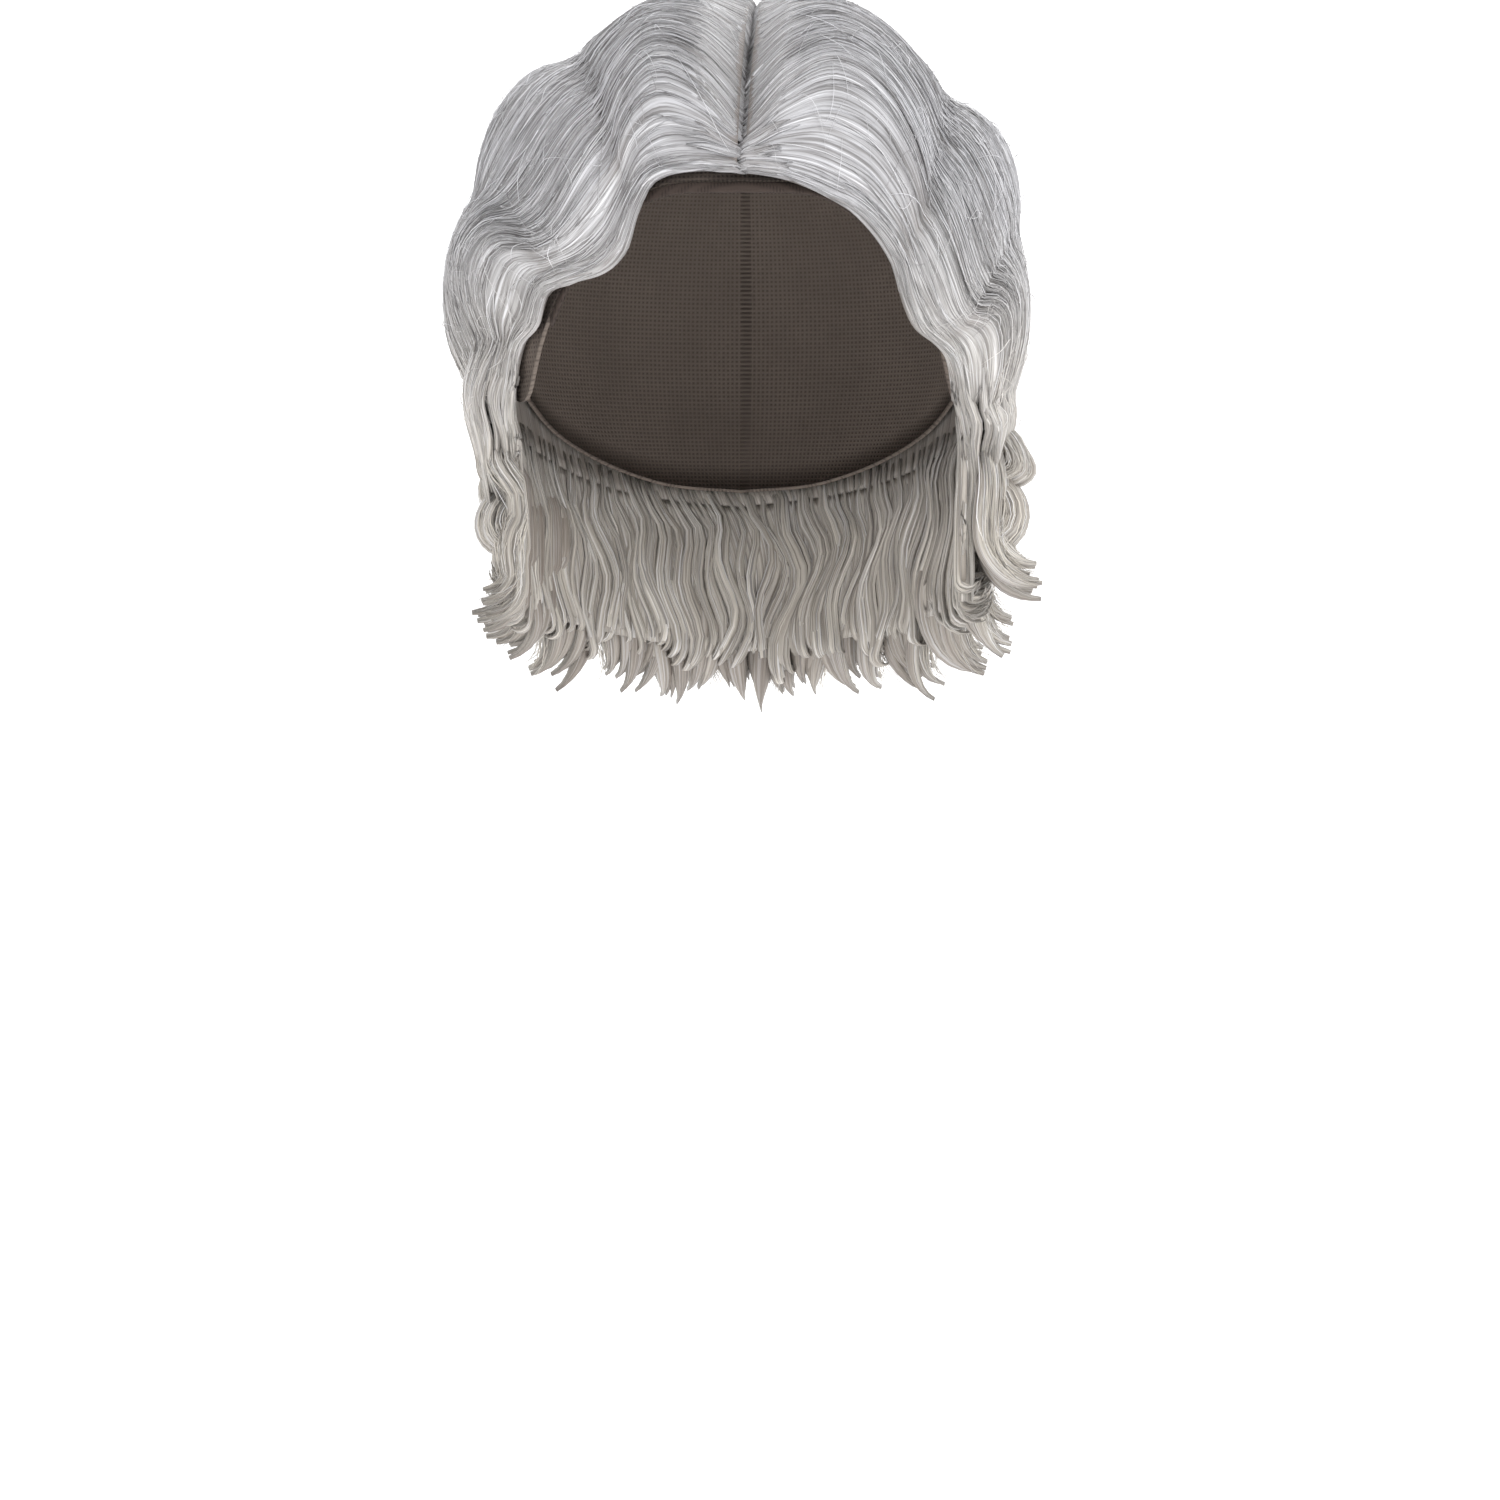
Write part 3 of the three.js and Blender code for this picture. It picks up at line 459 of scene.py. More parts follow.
def closed_sheet(outer, inner):
    """Closed body between an outer and an inner grid, joined along the grid's four edges."""
    rows, columns = outer.shape[:2]
    size = rows * columns
    points = np.concatenate([outer.reshape(-1, 3), inner.reshape(-1, 3)])
    index = np.arange(size).reshape(rows, columns)
    rim = np.concatenate([index[0, :-1], index[:-1, -1], index[-1, :0:-1], index[:0:-1, 0]])
    after = np.roll(rim, -1)
    walls = np.stack([rim, rim + size, after + size, after], -1)
    quads = np.concatenate([
        grid_quads(rows, columns),
        grid_quads(rows, columns, size)[:, ::-1],
        walls,
    ])
    return points, *outward(points, quads, [])


def swept_rings(rings):
    """Closed bodies through rings of points, [body, ring, corner], with a point in each end."""
    bodies, stations, sides = rings.shape[:3]
    size = stations * sides + 2
    ends = rings[:, [0, -1]].mean(2)
    points = np.concatenate([rings.reshape(bodies, -1, 3), ends], 1).reshape(-1, 3)
    quads = grid_quads(stations, sides, 0, True)
    corner = np.arange(sides)
    after = np.roll(corner, -1)
    last = (stations - 1) * sides
    first_end = np.stack([after, corner, np.full(sides, size - 2)], -1)
    last_end = np.stack([last + corner, last + after, np.full(sides, size - 1)], -1)
    triangles = np.concatenate([first_end, last_end])
    one = points[:size]
    quads, triangles = outward(one, quads, triangles)
    steps = (np.arange(bodies) * size)[:, None, None]
    return points, (quads + steps).reshape(-1, 4), (triangles + steps).reshape(-1, 3)


def hair_tubes(paths, normals, radii, sides=3):
    """Thin closed tubes along paths, [strand, station, 3]: a ring of corners at each station in
    the plane of the normal and its cross product with the tangent."""
    tangents = unit(np.gradient(paths, axis=1))
    across = unit(np.cross(tangents, normals))
    up = np.cross(across, tangents)
    angle = np.arange(sides) / sides * 2 * np.pi + np.pi / 2
    rings = paths[:, :, None] + radii[:, :, None, None] * (
        np.cos(angle)[:, None] * across[:, :, None] + np.sin(angle)[:, None] * up[:, :, None]
    )
    bodies, stations = paths.shape[:2]
    size = stations * sides
    points = rings.reshape(-1, 3)
    quads = grid_quads(stations, sides, 0, True)
    corner = np.arange(sides)
    ends = np.stack([corner[::-1], size - sides + corner])
    one = rings[0].reshape(-1, 3)
    fans = np.concatenate([
        np.stack([np.full(sides - 2, end[0]), end[1:-1], end[2:]], -1) for end in ends
    ])
    quads, fans = outward(one, quads, fans)
    steps = (np.arange(bodies) * size)[:, None, None]
    return points, (quads + steps).reshape(-1, 4), (fans + steps).reshape(-1, 3)


def joined(parts):
    """Several (points, quads, triangles, fields) bodies as one set of arrays."""
    start = 0
    points, quads, triangles, fields = [], [], [], {}
    for part_points, part_quads, part_triangles, part_fields in parts:
        points.append(part_points)
        quads.append(np.reshape(part_quads, (-1, 4)) + start)
        triangles.append(np.reshape(part_triangles, (-1, 3)) + start)
        start += len(part_points)
        for name, values in part_fields.items():
            fields.setdefault(name, []).append(values)
    return (
        np.concatenate(points), np.concatenate(quads), np.concatenate(triangles),
        {name: np.concatenate(values) for name, values in fields.items()},
    )


def warmth(points):
    """How warm the hair's colour is: cool on top and warmer towards the lowest curls."""
    return ease((-points[:, 2] - 40) / 120)


# Shader groups and materials


def new_group(name, inputs, outputs):
    """An empty shader group with float, vector or colour sockets, and its two end nodes."""
    group = bpy.data.node_groups.new(name, "ShaderNodeTree")
    for label, kind, value in inputs:
        socket = group.interface.new_socket(label, in_out="INPUT", socket_type=kind)
        if value is not None:
            socket.default_value = value
    for label, kind in outputs:
        group.interface.new_socket(label, in_out="OUTPUT", socket_type=kind)
    return group, group.nodes.new("NodeGroupInput"), group.nodes.new("NodeGroupOutput")


def math_node(tree, operation, a, b=None, c=None):
    """A Math node fed by sockets or numbers, and its output."""
    node = tree.nodes.new("ShaderNodeMath")
    node.operation = operation
    for slot, value in enumerate((a, b, c)):
        if value is None:
            continue
        if isinstance(value, (int, float)):
            node.inputs[slot].default_value = value
        else:
            tree.links.new(value, node.inputs[slot])
    return node.outputs[0]


def colour_mix(tree, share, a, b, mode="MIX"):
    """A colour Mix node fed by sockets or plain colours, and its output."""
    node = tree.nodes.new("ShaderNodeMix")
    node.data_type = "RGBA"
    node.blend_type = mode
    for socket, value in ((node.inputs[0], share), (node.inputs[6], a), (node.inputs[7], b)):
        if isinstance(value, (int, float)):
            socket.default_value = value
        elif isinstance(value, (tuple, list)):
            socket.default_value = (*value, 1)
        else:
            tree.links.new(value, socket)
    return node.outputs[2]


def ramp(tree, value, low, high, bottom=0.0, top=1.0):
    """A Map Range node that turns low..high into bottom..top, and its output."""
    node = tree.nodes.new("ShaderNodeMapRange")
    tree.links.new(value, node.inputs[0])
    for slot, number in enumerate((low, high, bottom, top), 1):
        node.inputs[slot].default_value = number
    return node.outputs[0]


def combed_lines_group():
    """Fine strand lines and wider lock tones from a flow of (across, along, spread): noise drawn
    out along the strands, with narrower lines where the strands spread."""
    group, start, end = new_group(
        "combed lines",
        [("Flow", "NodeSocketVector", None), ("Density", "NodeSocketFloat", 1.0)],
        [("Fine", "NodeSocketFloat"), ("Fibre", "NodeSocketFloat"), ("Lock", "NodeSocketFloat")],
    )
    split = group.nodes.new("ShaderNodeSeparateXYZ")
    group.links.new(start.outputs["Flow"], split.inputs[0])
    across = math_node(group, "MULTIPLY", split.outputs[0], start.outputs["Density"])

    def noise(across_scale, along_scale, detail, seed):
        place = group.nodes.new("ShaderNodeCombineXYZ")
        group.links.new(math_node(group, "MULTIPLY", across, across_scale), place.inputs[0])
        group.links.new(
            math_node(group, "MULTIPLY", split.outputs[1], along_scale), place.inputs[1]
        )
        place.inputs[2].default_value = seed
        node = group.nodes.new("ShaderNodeTexNoise")
        group.links.new(place.outputs[0], node.inputs["Vector"])
        node.inputs["Scale"].default_value = 1
        node.inputs["Detail"].default_value = detail
        node.inputs["Roughness"].default_value = 0.65
        return node.outputs[0]

    near = noise(2.6, 0.035, 2, 0.5)
    spread = noise(6.5, 0.04, 2, 7.5)
    share = ramp(group, split.outputs[2], 1.3, 2.6)
    fine = math_node(group, "ADD", math_node(group, "MULTIPLY", near, math_node(
        group, "SUBTRACT", 1.0, share)), math_node(group, "MULTIPLY", spread, share))
    group.links.new(fine, end.inputs["Fine"])
    group.links.new(noise(4.4, 0.028, 1, 11.5), end.inputs["Fibre"])
    group.links.new(noise(0.33, 0.014, 2, 3.5), end.inputs["Lock"])
    return group


def weave_group():
    """Threads crossing at right angles: two saw waves along Object X and Z, and their height."""
    group, start, end = new_group(
        "crossed threads",
        [("Place", "NodeSocketVector", None), ("Threads", "NodeSocketFloat", 900.0)],
        [("Thread", "NodeSocketFloat")],
    )
    split = group.nodes.new("ShaderNodeSeparateXYZ")
    group.links.new(start.outputs["Place"], split.inputs[0])
    waves = []
    for axis in (0, 1):
        turned = math_node(group, "MULTIPLY", split.outputs[axis], start.outputs["Threads"])
        waves.append(math_node(group, "ABSOLUTE", math_node(group, "SINE", turned)))
    group.links.new(math_node(group, "MAXIMUM", waves[0], waves[1]), end.inputs["Thread"])
    return group


def new_material(name):
    """A material with a Principled shader, and the two."""
    material = bpy.data.materials.new(name)
    material.use_nodes = True
    return material, material.node_tree, material.node_tree.nodes["Principled BSDF"]


def field(tree, name):
    """The Attribute node of a mesh field."""
    node = tree.nodes.new("ShaderNodeAttribute")
    node.attribute_name = name
    return node


def hair_material(name, groups, settings, density, gloss, bright=1.0):
    """Silky grey fibre: fine dark and light lines along the strands, painted shade in the gaps between
    fibres and a painted highlight along them, cooler on top and warmer at the ends, and painted brown
    shade where the strands sink towards the cap."""
    material, tree, shader = new_material(name)
    lines = tree.nodes.new("ShaderNodeGroup")
    lines.node_tree = groups["lines"]
    lines.inputs["Density"].default_value = density
    tree.links.new(field(tree, "flow").outputs["Vector"], lines.inputs["Flow"])
    cool = tuple(bright * part for part in settings.cool_grey)
    warm = tuple(bright * part for part in settings.warm_grey)
    tone = colour_mix(tree, field(tree, "warmth").outputs["Fac"], cool, warm)
    fine = ramp(tree, lines.outputs["Fine"], 0.34, 0.66)
    tone = colour_mix(tree, fine, colour_mix(tree, 1.0, tone, (0.48, 0.46, 0.44), "MULTIPLY"),
                      colour_mix(tree, 1.0, tone, (1.3, 1.3, 1.3), "MULTIPLY"))
    # Painted shade: the gaps between fibres are darkened towards a near-black grey.
    painted_gap_shade = ramp(tree, lines.outputs["Fibre"], 0.44, 0.33, 0, 0.9)
    tone = colour_mix(tree, painted_gap_shade, tone, (0.175, 0.168, 0.168))
    # Painted highlight: a pale grey streak along the brightest fibres.
    painted_fibre_highlight = ramp(tree, lines.outputs["Fibre"], 0.57, 0.66, 0, 0.65)
    tone = colour_mix(tree, painted_fibre_highlight, tone, (0.8, 0.8, 0.82))
    lock = ramp(tree, lines.outputs["Lock"], 0.35, 0.68, 0.86, 1.06)
    lock_colour = tree.nodes.new("ShaderNodeCombineColor")
    for socket in lock_colour.inputs[:3]:
        tree.links.new(lock, socket)
    tone = colour_mix(tree, 1.0, tone, lock_colour.outputs[0], "MULTIPLY")
    # Painted shade: the field mixes the colour towards a shade brown at the part, in creases and
    # troughs and on hidden sides.
    tone = colour_mix(tree, field(tree, "painted_shade").outputs["Fac"], tone, tuple(settings.painted_shade_brown))
    tree.links.new(tone, shader.inputs["Base Color"])
    tree.links.new(ramp(tree, lines.outputs["Fine"], 0.3, 0.7, gloss + 0.12, gloss),
                   shader.inputs["Roughness"])
    shader.inputs["Specular IOR Level"].default_value = 0.6
    bump = tree.nodes.new("ShaderNodeBump")
    bump.inputs["Strength"].default_value = 0.9
    bump.inputs["Distance"].default_value = 0.0004
    height = math_node(tree, "ADD", lines.outputs["Fine"], lines.outputs["Fibre"])
    tree.links.new(height, bump.inputs["Height"])
    tree.links.new(bump.outputs[0], shader.inputs["Normal"])
    return material


def cloth_material(name, groups, colour, threads, strength):
    """Woven cloth or net: crossed threads in relief, lighter on top than between, with painted shade
    between the threads.
    """
    material, tree, shader = new_material(name)
    place = tree.nodes.new("ShaderNodeTexCoord")
    weave = tree.nodes.new("ShaderNodeGroup")
    weave.node_tree = groups["weave"]
    weave.inputs["Threads"].default_value = threads
    tree.links.new(field(tree, "flow").outputs["Vector"], weave.inputs["Place"])
    blotch = tree.nodes.new("ShaderNodeTexNoise")
    tree.links.new(place.outputs["Object"], blotch.inputs["Vector"])
    blotch.inputs["Scale"].default_value = 45
    # Painted shade: the colour falls to about a third between the threads.
    tone = colour_mix(tree, weave.outputs["Thread"], tuple(0.35 * c for c in colour), colour)
    tone = colour_mix(tree, ramp(tree, blotch.outputs[0], 0.3, 0.7, 0, 0.35), tone,
                      tuple(0.6 * c for c in colour))
    tree.links.new(tone, shader.inputs["Base Color"])
    shader.inputs["Roughness"].default_value = 0.85
    shader.inputs["Specular IOR Level"].default_value = 0.25
    bump = tree.nodes.new("ShaderNodeBump")
    bump.inputs["Strength"].default_value = strength
    bump.inputs["Distance"].default_value = 0.0003
    tree.links.new(weave.outputs["Thread"], bump.inputs["Height"])
    tree.links.new(bump.outputs[0], shader.inputs["Normal"])
    return material


def wig_materials(settings):
    """Every material of the wig, made once."""
    if "hair" not in MATERIALS:
        groups = {"lines": combed_lines_group(), "weave": weave_group()}
        MATERIALS["hair"] = hair_material("combed grey hair", groups, settings, 1.0, 0.4)
        MATERIALS["loose"] = hair_material("loose grey strands", groups, settings, 0.6, 0.36, 1.1)
        MATERIALS["stray"] = hair_material("stray white hairs", groups, settings, 0.6, 0.3, 1.5)
        MATERIALS["net"] = cloth_material(
            "stretch cap net", groups, tuple(settings.net_brown), 2.2, 0.8)
        MATERIALS["band"] = cloth_material(
            "brown edging tape", groups, tuple(settings.band_brown), 3.2, 0.6)
        MATERIALS["part"] = cloth_material(
            "part backing cloth", groups, tuple(settings.part_brown), 4.5, 0.4)
    return MATERIALS


MATERIALS = {}


def finished(piece, nodes):
    """The piece rides on the wig's one body and stands for its nodes."""
    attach(piece, BODY)
    if nodes:
        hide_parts(*nodes)
    return piece


# Shapes of the hair


def panel_arrays(start, stop, columns, rows, seed):
    """Panel of combed hair: the depth of the waves with combed grooves on it, over a plain inner
    sheet, rounded off at its lower edge."""
    root = mix(start, stop, np.linspace(0, 1, columns))[None, :]
    share = np.linspace(0, 1, rows)[:, None]
    first = part_edge(root)
    distance = mix(first, lower_edge(root, 1), mix(share, share**1.25, 0.5))
    root = np.broadcast_to(root, distance.shape)
    depth = hair_depth(root, distance)
    flat = hair_point(root, distance, depth)
    spread = np.linalg.norm(np.gradient(flat, axis=1), axis=-1)
    spread /= (stop - start) / (columns - 1)
    line = root + swept(root, distance)
    relief = comb_relief(line, distance, spread, seed)
    edge = np.minimum(share / 0.04, (1 - share) / 0.04)
    sides = np.minimum(root - start, stop - root) / 3
    relief = relief * ease(edge + 0.25) * ease(sides + 0.4)
    rounded = 1 - 0.45 * ease((share - 0.9) / 0.1)
    outer = hair_point(root, distance, depth * rounded + relief)
    inner = hair_point(root, distance, np.zeros_like(depth))
    inset = 0.5 * SEAT_GAP / ((stop - start) / (columns - 1))
    for sheet in (outer, inner):
        sheet[:, 0] = mix(sheet[:, 0], sheet[:, 1], inset)
        sheet[:, -1] = mix(sheet[:, -1], sheet[:, -2], inset)
    points, quads, triangles = closed_sheet(outer, inner)
    flow = np.stack([line, distance, spread], -1).reshape(-1, 3)
    # Painted shade: darker next to the part, in the combed grooves and in the troughs of the waves.
    part_crease_shade = (1 - ease((distance - first) / 5)) * 0.75
    grooves = ease((-relief - 0.3) / 0.5) * 0.3
    count = wave_count(root, distance)
    troughs = (1 - np.sin(np.pi * (count - np.floor(count)) ** CREST_EARLY)) ** 2.5
    troughs = 0.4 * troughs * ease(distance / 30)
    painted_shade = np.clip(part_crease_shade + grooves + troughs, 0, 1).ravel()
    fields = {
        "flow": np.concatenate([flow, flow]),
        # The inner sheet, against the cap, gets an even painted shade.
        "painted_shade": np.concatenate([painted_shade, np.full(len(painted_shade), 0.55)]),
        "warmth": warmth(points),
    }
    return points, quads, triangles, fields


def backing_arrays(start, stop, columns, rows, seed):
    """Backing of the lowest hair: a combed sheet from the panels' lower edge to the tips."""
    root = mix(start, stop, np.linspace(0, 1, columns))[None, :]
    share = np.linspace(0, 1, rows)[:, None]
    distance = mix(lower_edge(root, 1) + 0.8, lower_edge(root, 2), share)
    root = np.broadcast_to(root, distance.shape)
    flat = hair_point(root, distance, np.zeros_like(distance))
    spread = np.linalg.norm(np.gradient(flat, axis=1), axis=-1)
    spread /= (stop - start) / (columns - 1)
    relief = comb_relief(root, distance, spread, seed)
    outer = hair_point(root, distance, SKIRT_WALL - 0.6 + 0.8 * relief)
    points, quads, triangles = closed_sheet(outer, flat)
    flow = np.stack([root, distance, spread], -1).reshape(-1, 3)
    fields = {
        "flow": np.concatenate([flow, flow]),
        # Painted shade: the backing under the locks is darkened evenly.
        "painted_shade": np.full(len(points), 0.3),
        "warmth": warmth(points),
    }
    return points, quads, triangles, fields


def reach_at(round_angle, drop):
    """Distance over the scalp at which the surface lies a drop below the crown."""
    hang = mix(HANG_SIDE_ANGLE, HANG_BACK_ANGLE, ease(-np.cos(round_angle)))
    hang_drop = CROWN_RISE * (1 - np.cos(hang))
    on_head = CROWN_RISE * np.arccos(np.clip(1 - drop / CROWN_RISE, -1, 1))
    return np.where(drop < hang_drop, on_head, CROWN_RISE * hang + drop - hang_drop)


def clump_paths(lock, stations, aside, lift, early, stretch):
    """Centre lines of a lock's clumps, [clump, station, 3], with their directions across and out.

    The heading turns along the clump while it runs down over the scalp and away from it. Each clump
    lies a share of the half width aside, a distance lifted off the lock's own centre line, turns a
    little early and is a little stretched.
    """
    curl, round_degrees, top, out, length, width, deep, swing = lock
    share = np.linspace(0, 1, stations)[None, :]
    middle = (share[:, 1:] + share[:, :-1]) / 2
    heading = np.radians(read_table(CURLS[curl], 1, np.clip(middle + early, 0, 1)))
    step = LOCK_LENGTH * length * stretch / (stations - 1)
    start = reach_at(np.radians(round_degrees), top * WIG_DROP)
    none = np.zeros((len(aside), 1))
    reach = start + np.concatenate([none, np.cumsum(np.cos(heading) * step, 1)], 1)
    height = out * LOCK_WIDTH + np.concatenate([none, np.cumsum(np.sin(heading) * step, 1)], 1)
    turning = np.concatenate([heading[:, :1], (heading[:, 1:] + heading[:, :-1]) / 2,
                              heading[:, -1:]], 1)
    reach = reach - np.sin(turning) * lift
    height = np.maximum(height + np.cos(turning) * lift, 1.3)
    wide = width * LOCK_WIDTH / 2 * lock_body(share)
    turned = np.radians(round_degrees + swing * share) + aside * wide / (HEAD_HALF_WIDTH + height)

    def place(round_angle):
        return head_point(np.sin(round_angle) * reach, -np.cos(round_angle) * reach,
                          HAIR_INSIDE + height)

    paths = place(turned)
    across = unit(place(turned + 0.01) - place(turned - 0.01))
    tangents = unit(np.gradient(paths, axis=1))
    across = unit(across - (tangents * across).sum(-1, keepdims=True) * tangents)
    return paths, across, np.cross(tangents, across)


def lock_body(share):
    """Width of a lock along its length: a little narrow at the root, and half as wide at its tip."""
    return mix(0.85, 1, ease(share / 0.3)) * mix(1, LOCK_TIP, ease((share - 0.5) / 0.5))


def lock_arrays(lock, clumps, rng, stations=22, sides=10):
    """One lock as flattened clumps of hair round its section, each tapering to its own tip."""
    curl, round_degrees, top, out, length, width, deep, swing = lock
    half_depth = deep * LOCK_DEPTH / 2
    angle = (np.arange(clumps) + rng.uniform(-0.25, 0.25, clumps)) / clumps * 2 * np.pi
    size = rng.uniform(0.85, 1.25, clumps)
    aside = (0.72 * np.cos(angle))[:, None]
    lift = (0.5 * half_depth * np.sin(angle) + rng.normal(0, 0.5, clumps))[:, None]
    drift = rng.normal(0, 0.15, (clumps, 1)) * np.linspace(0, 1, stations)
    early = rng.normal(0, 0.03, (clumps, 1))
    stretch = rng.uniform(0.9, 1.05, (clumps, 1))
    paths, across, out_ward = clump_paths(lock, stations, aside + drift, lift, early, stretch)
    share = np.linspace(0, 1, stations)
    body = lock_body(share) * mix(0.12, 1, ease((1 - share) / 0.22)) * mix(0.5, 1, ease(share / 0.1))
    half_wide = (size * 4.2 * width / clumps * LOCK_WIDTH / 2 * 0.55)[:, None] * body
    half_thick = (size * 0.62 * half_depth)[:, None] * np.sqrt(body)
    turn = (np.arange(sides) + 0.5) / sides * 2 * np.pi
    groove = 1 + 0.12 * smooth_noise(
        np.arange(sides)[None, None, :] * 0.9 + 7 * np.arange(clumps)[:, None, None],
        share[None, :, None] * 5, int(rng.integers(1000)))
    rings = paths[:, :, None] + groove[..., None] * (
        (half_wide[..., None] * np.cos(turn))[..., None] * across[:, :, None]
        + (half_thick[..., None] * np.sin(turn))[..., None] * out_ward[:, :, None]
    )
    points, quads, triangles = swept_rings(rings)
    around = turn / np.pi * 4.5 + rng.uniform(0, 300, (clumps, 1, 1))
    along = (share * LOCK_LENGTH * length)[None, :, None]
    flow = np.stack(np.broadcast_arrays(around, along, 1.2), -1).reshape(clumps, -1, 3)
    flow = np.concatenate([flow, flow[:, :1], flow[:, -1:]], 1).reshape(-1, 3)
    # Painted shade on the side of each clump that faces the head, plus a random darkening per clump;
    # the end points get an even painted shade.
    inner = ease((0.15 - np.sin(turn)) / 1.1)[None, None, :] * 0.45
    tone = np.broadcast_to(inner + rng.uniform(0, 0.3, (clumps, 1, 1)), rings.shape[:3])
    painted_shade = np.concatenate([tone.reshape(clumps, -1), np.full((clumps, 2), 0.2)], 1)
    fields = {"flow": flow, "painted_shade": painted_shade.ravel(), "warmth": warmth(points)}
    return points, quads, triangles, fields


def lock_strands(lock, count, rng):
    """Strands over a lock: each keeps its own place across it, just off the outer or inner side,
    and leaves it a little towards its tip."""
    stations = 14
    curl, round_degrees, top, out, length, width, deep, swing = lock
    half_depth = deep * LOCK_DEPTH / 2
    angle = rng.uniform(-0.35, np.pi + 0.35, (count, 1))
    share = np.linspace(0, 1, stations)[None, :]
    rise = np.abs(rng.normal(0, 0.5, (count, 1))) * ease(share * 1.4)
    aside = 1.02 * np.cos(angle) + rng.normal(0, 0.12, (count, 1)) * share
    lift = (half_depth * 1.05 + 0.25) * np.sin(angle) * np.sqrt(lock_body(share)) + rise
    early = rng.normal(0, 0.02, (count, 1))
    stretch = rng.uniform(0.86, 1.06, (count, 1))
    paths, _, normals = clump_paths(lock, stations, aside, lift, early, stretch)
    radius = rng.uniform(0.1, 0.19, (count, 1)) * taper(stations)
    return strand_arrays(paths, normals, radius, rng)


def strand_arrays(paths, normals, radius, rng):
    """Strands along paths with their fields: each has a tone of its own."""
    points, quads, triangles = hair_tubes(paths, normals, radius)
    count, stations = paths.shape[:2]
    along = np.linspace(0, 3 * stations, stations)[None, :]
    places = np.stack(np.broadcast_arrays(rng.uniform(0, 300, (count, 1)), along, 1.2), -1)
    fields = {
        "flow": np.repeat(places.reshape(-1, 3), 3, 0),
        "painted_shade": np.zeros(len(points)),
        "warmth": warmth(points),
    }
    return points, quads, triangles, fields


def taper(stations):
    """Width of a strand along its length: thin at both ends."""
    share = np.linspace(0, 1, stations)
    return mix(0.35, 1, ease(share / 0.15)) * mix(0.3, 1, ease((1 - share) / 0.3))


def wave_strands(start, stop, count, rng):
    """Loose strands over a panel: each follows the flow from its own root and distance, wandering
    sideways and rising a little between two points where it touches."""
    stations = 14
    share = np.linspace(0, 1, stations)[None, :]
    root0 = rng.uniform(start, stop, (count, 1))
    low = part_edge(root0)
    high = lower_edge(root0, 1)
    length = rng.uniform(35, 85, (count, 1))
    begin = mix(low - 2, high - 0.35 * length, rng.uniform(0, 1, (count, 1)) ** 1.1)
    distance = np.maximum(mix(begin, np.minimum(begin + length, high + 16), share), 0.6)
    wander = rng.normal(0, 1.3, (count, 1)) * (share - 0.3) + rng.normal(0, 0.5, (count, 1)) \
        * np.sin(np.pi * (rng.uniform(1, 2.5, (count, 1)) * share + rng.uniform(0, 2, (count, 1))))
    root = np.clip(swept_root(root0 + wander * ease(distance / 25), distance), start, stop)
    lift = np.abs(rng.normal(0, 0.45, (count, 1))) * np.sin(np.pi * share) + 0.25
    paths, normals = lifted_paths(root, distance, lift)
    radius = rng.uniform(0.1, 0.19, (count, 1)) * taper(stations)
    return strand_arrays(paths, normals, radius, rng)


def lifted_paths(root, distance, lift):
    """Paths over the panels, [strand, station, 3], and the head's normals there: the depth of the
    hair plus a lift, and below the lower edge out over the tops of the locks."""
    from_front, _, _, _ = root_place(root)
    below = ease((distance - lower_edge(root, 1) + 10) / 18)
    low = OVER_LOCKS * mix(0.35, 1, ease(from_front / 16))
    height = mix(hair_depth(root, distance), low, below) + lift
    paths = hair_point(root, distance, height)
    _, normals = head_frame(*strand(root, distance))
    return paths, normals


def clump_arrays(paths, normals, half_wide, half_thick, tone, rng, sides=8):
    """Flattened clumps along paths, [clump, station, 3], pointed at both ends: an ellipse at each
    station, its short axis along the normal."""
    count, stations = paths.shape[:2]
    share = np.linspace(0, 1, stations)[None, :]
    body = np.sin(np.pi * np.clip(share, 0.03, 0.97)) ** 0.6
    tangents = unit(np.gradient(paths, axis=1))
    across = unit(np.cross(tangents, normals))
    short = np.cross(across, tangents)
    turn = (np.arange(sides) + 0.5) / sides * 2 * np.pi
    rings = paths[:, :, None] + (
        ((half_wide * body)[..., None] * np.cos(turn))[..., None] * across[:, :, None]
        + ((half_thick * body)[..., None] * np.sin(turn))[..., None] * short[:, :, None]
    )
    points, quads, triangles = swept_rings(rings)
    around = turn / np.pi * 3 + rng.uniform(0, 300, (count, 1, 1))
    along = (share * 4 * stations)[..., None]
    flow = np.stack(np.broadcast_arrays(around, along, 1.2), -1).reshape(count, -1, 3)
    flow = np.concatenate([flow, flow[:, :1], flow[:, -1:]], 1)
    fields = {
        "flow": flow.reshape(-1, 3),
        # Painted shade: each clump's tone darkens it towards the shade brown, in random amounts or
        # more where it lies low in the hair.
        "painted_shade": np.repeat(np.broadcast_to(tone, (count, 1)).ravel(), flow.shape[1]),
        "warmth": warmth(points),
    }
    return points, quads, triangles, fields


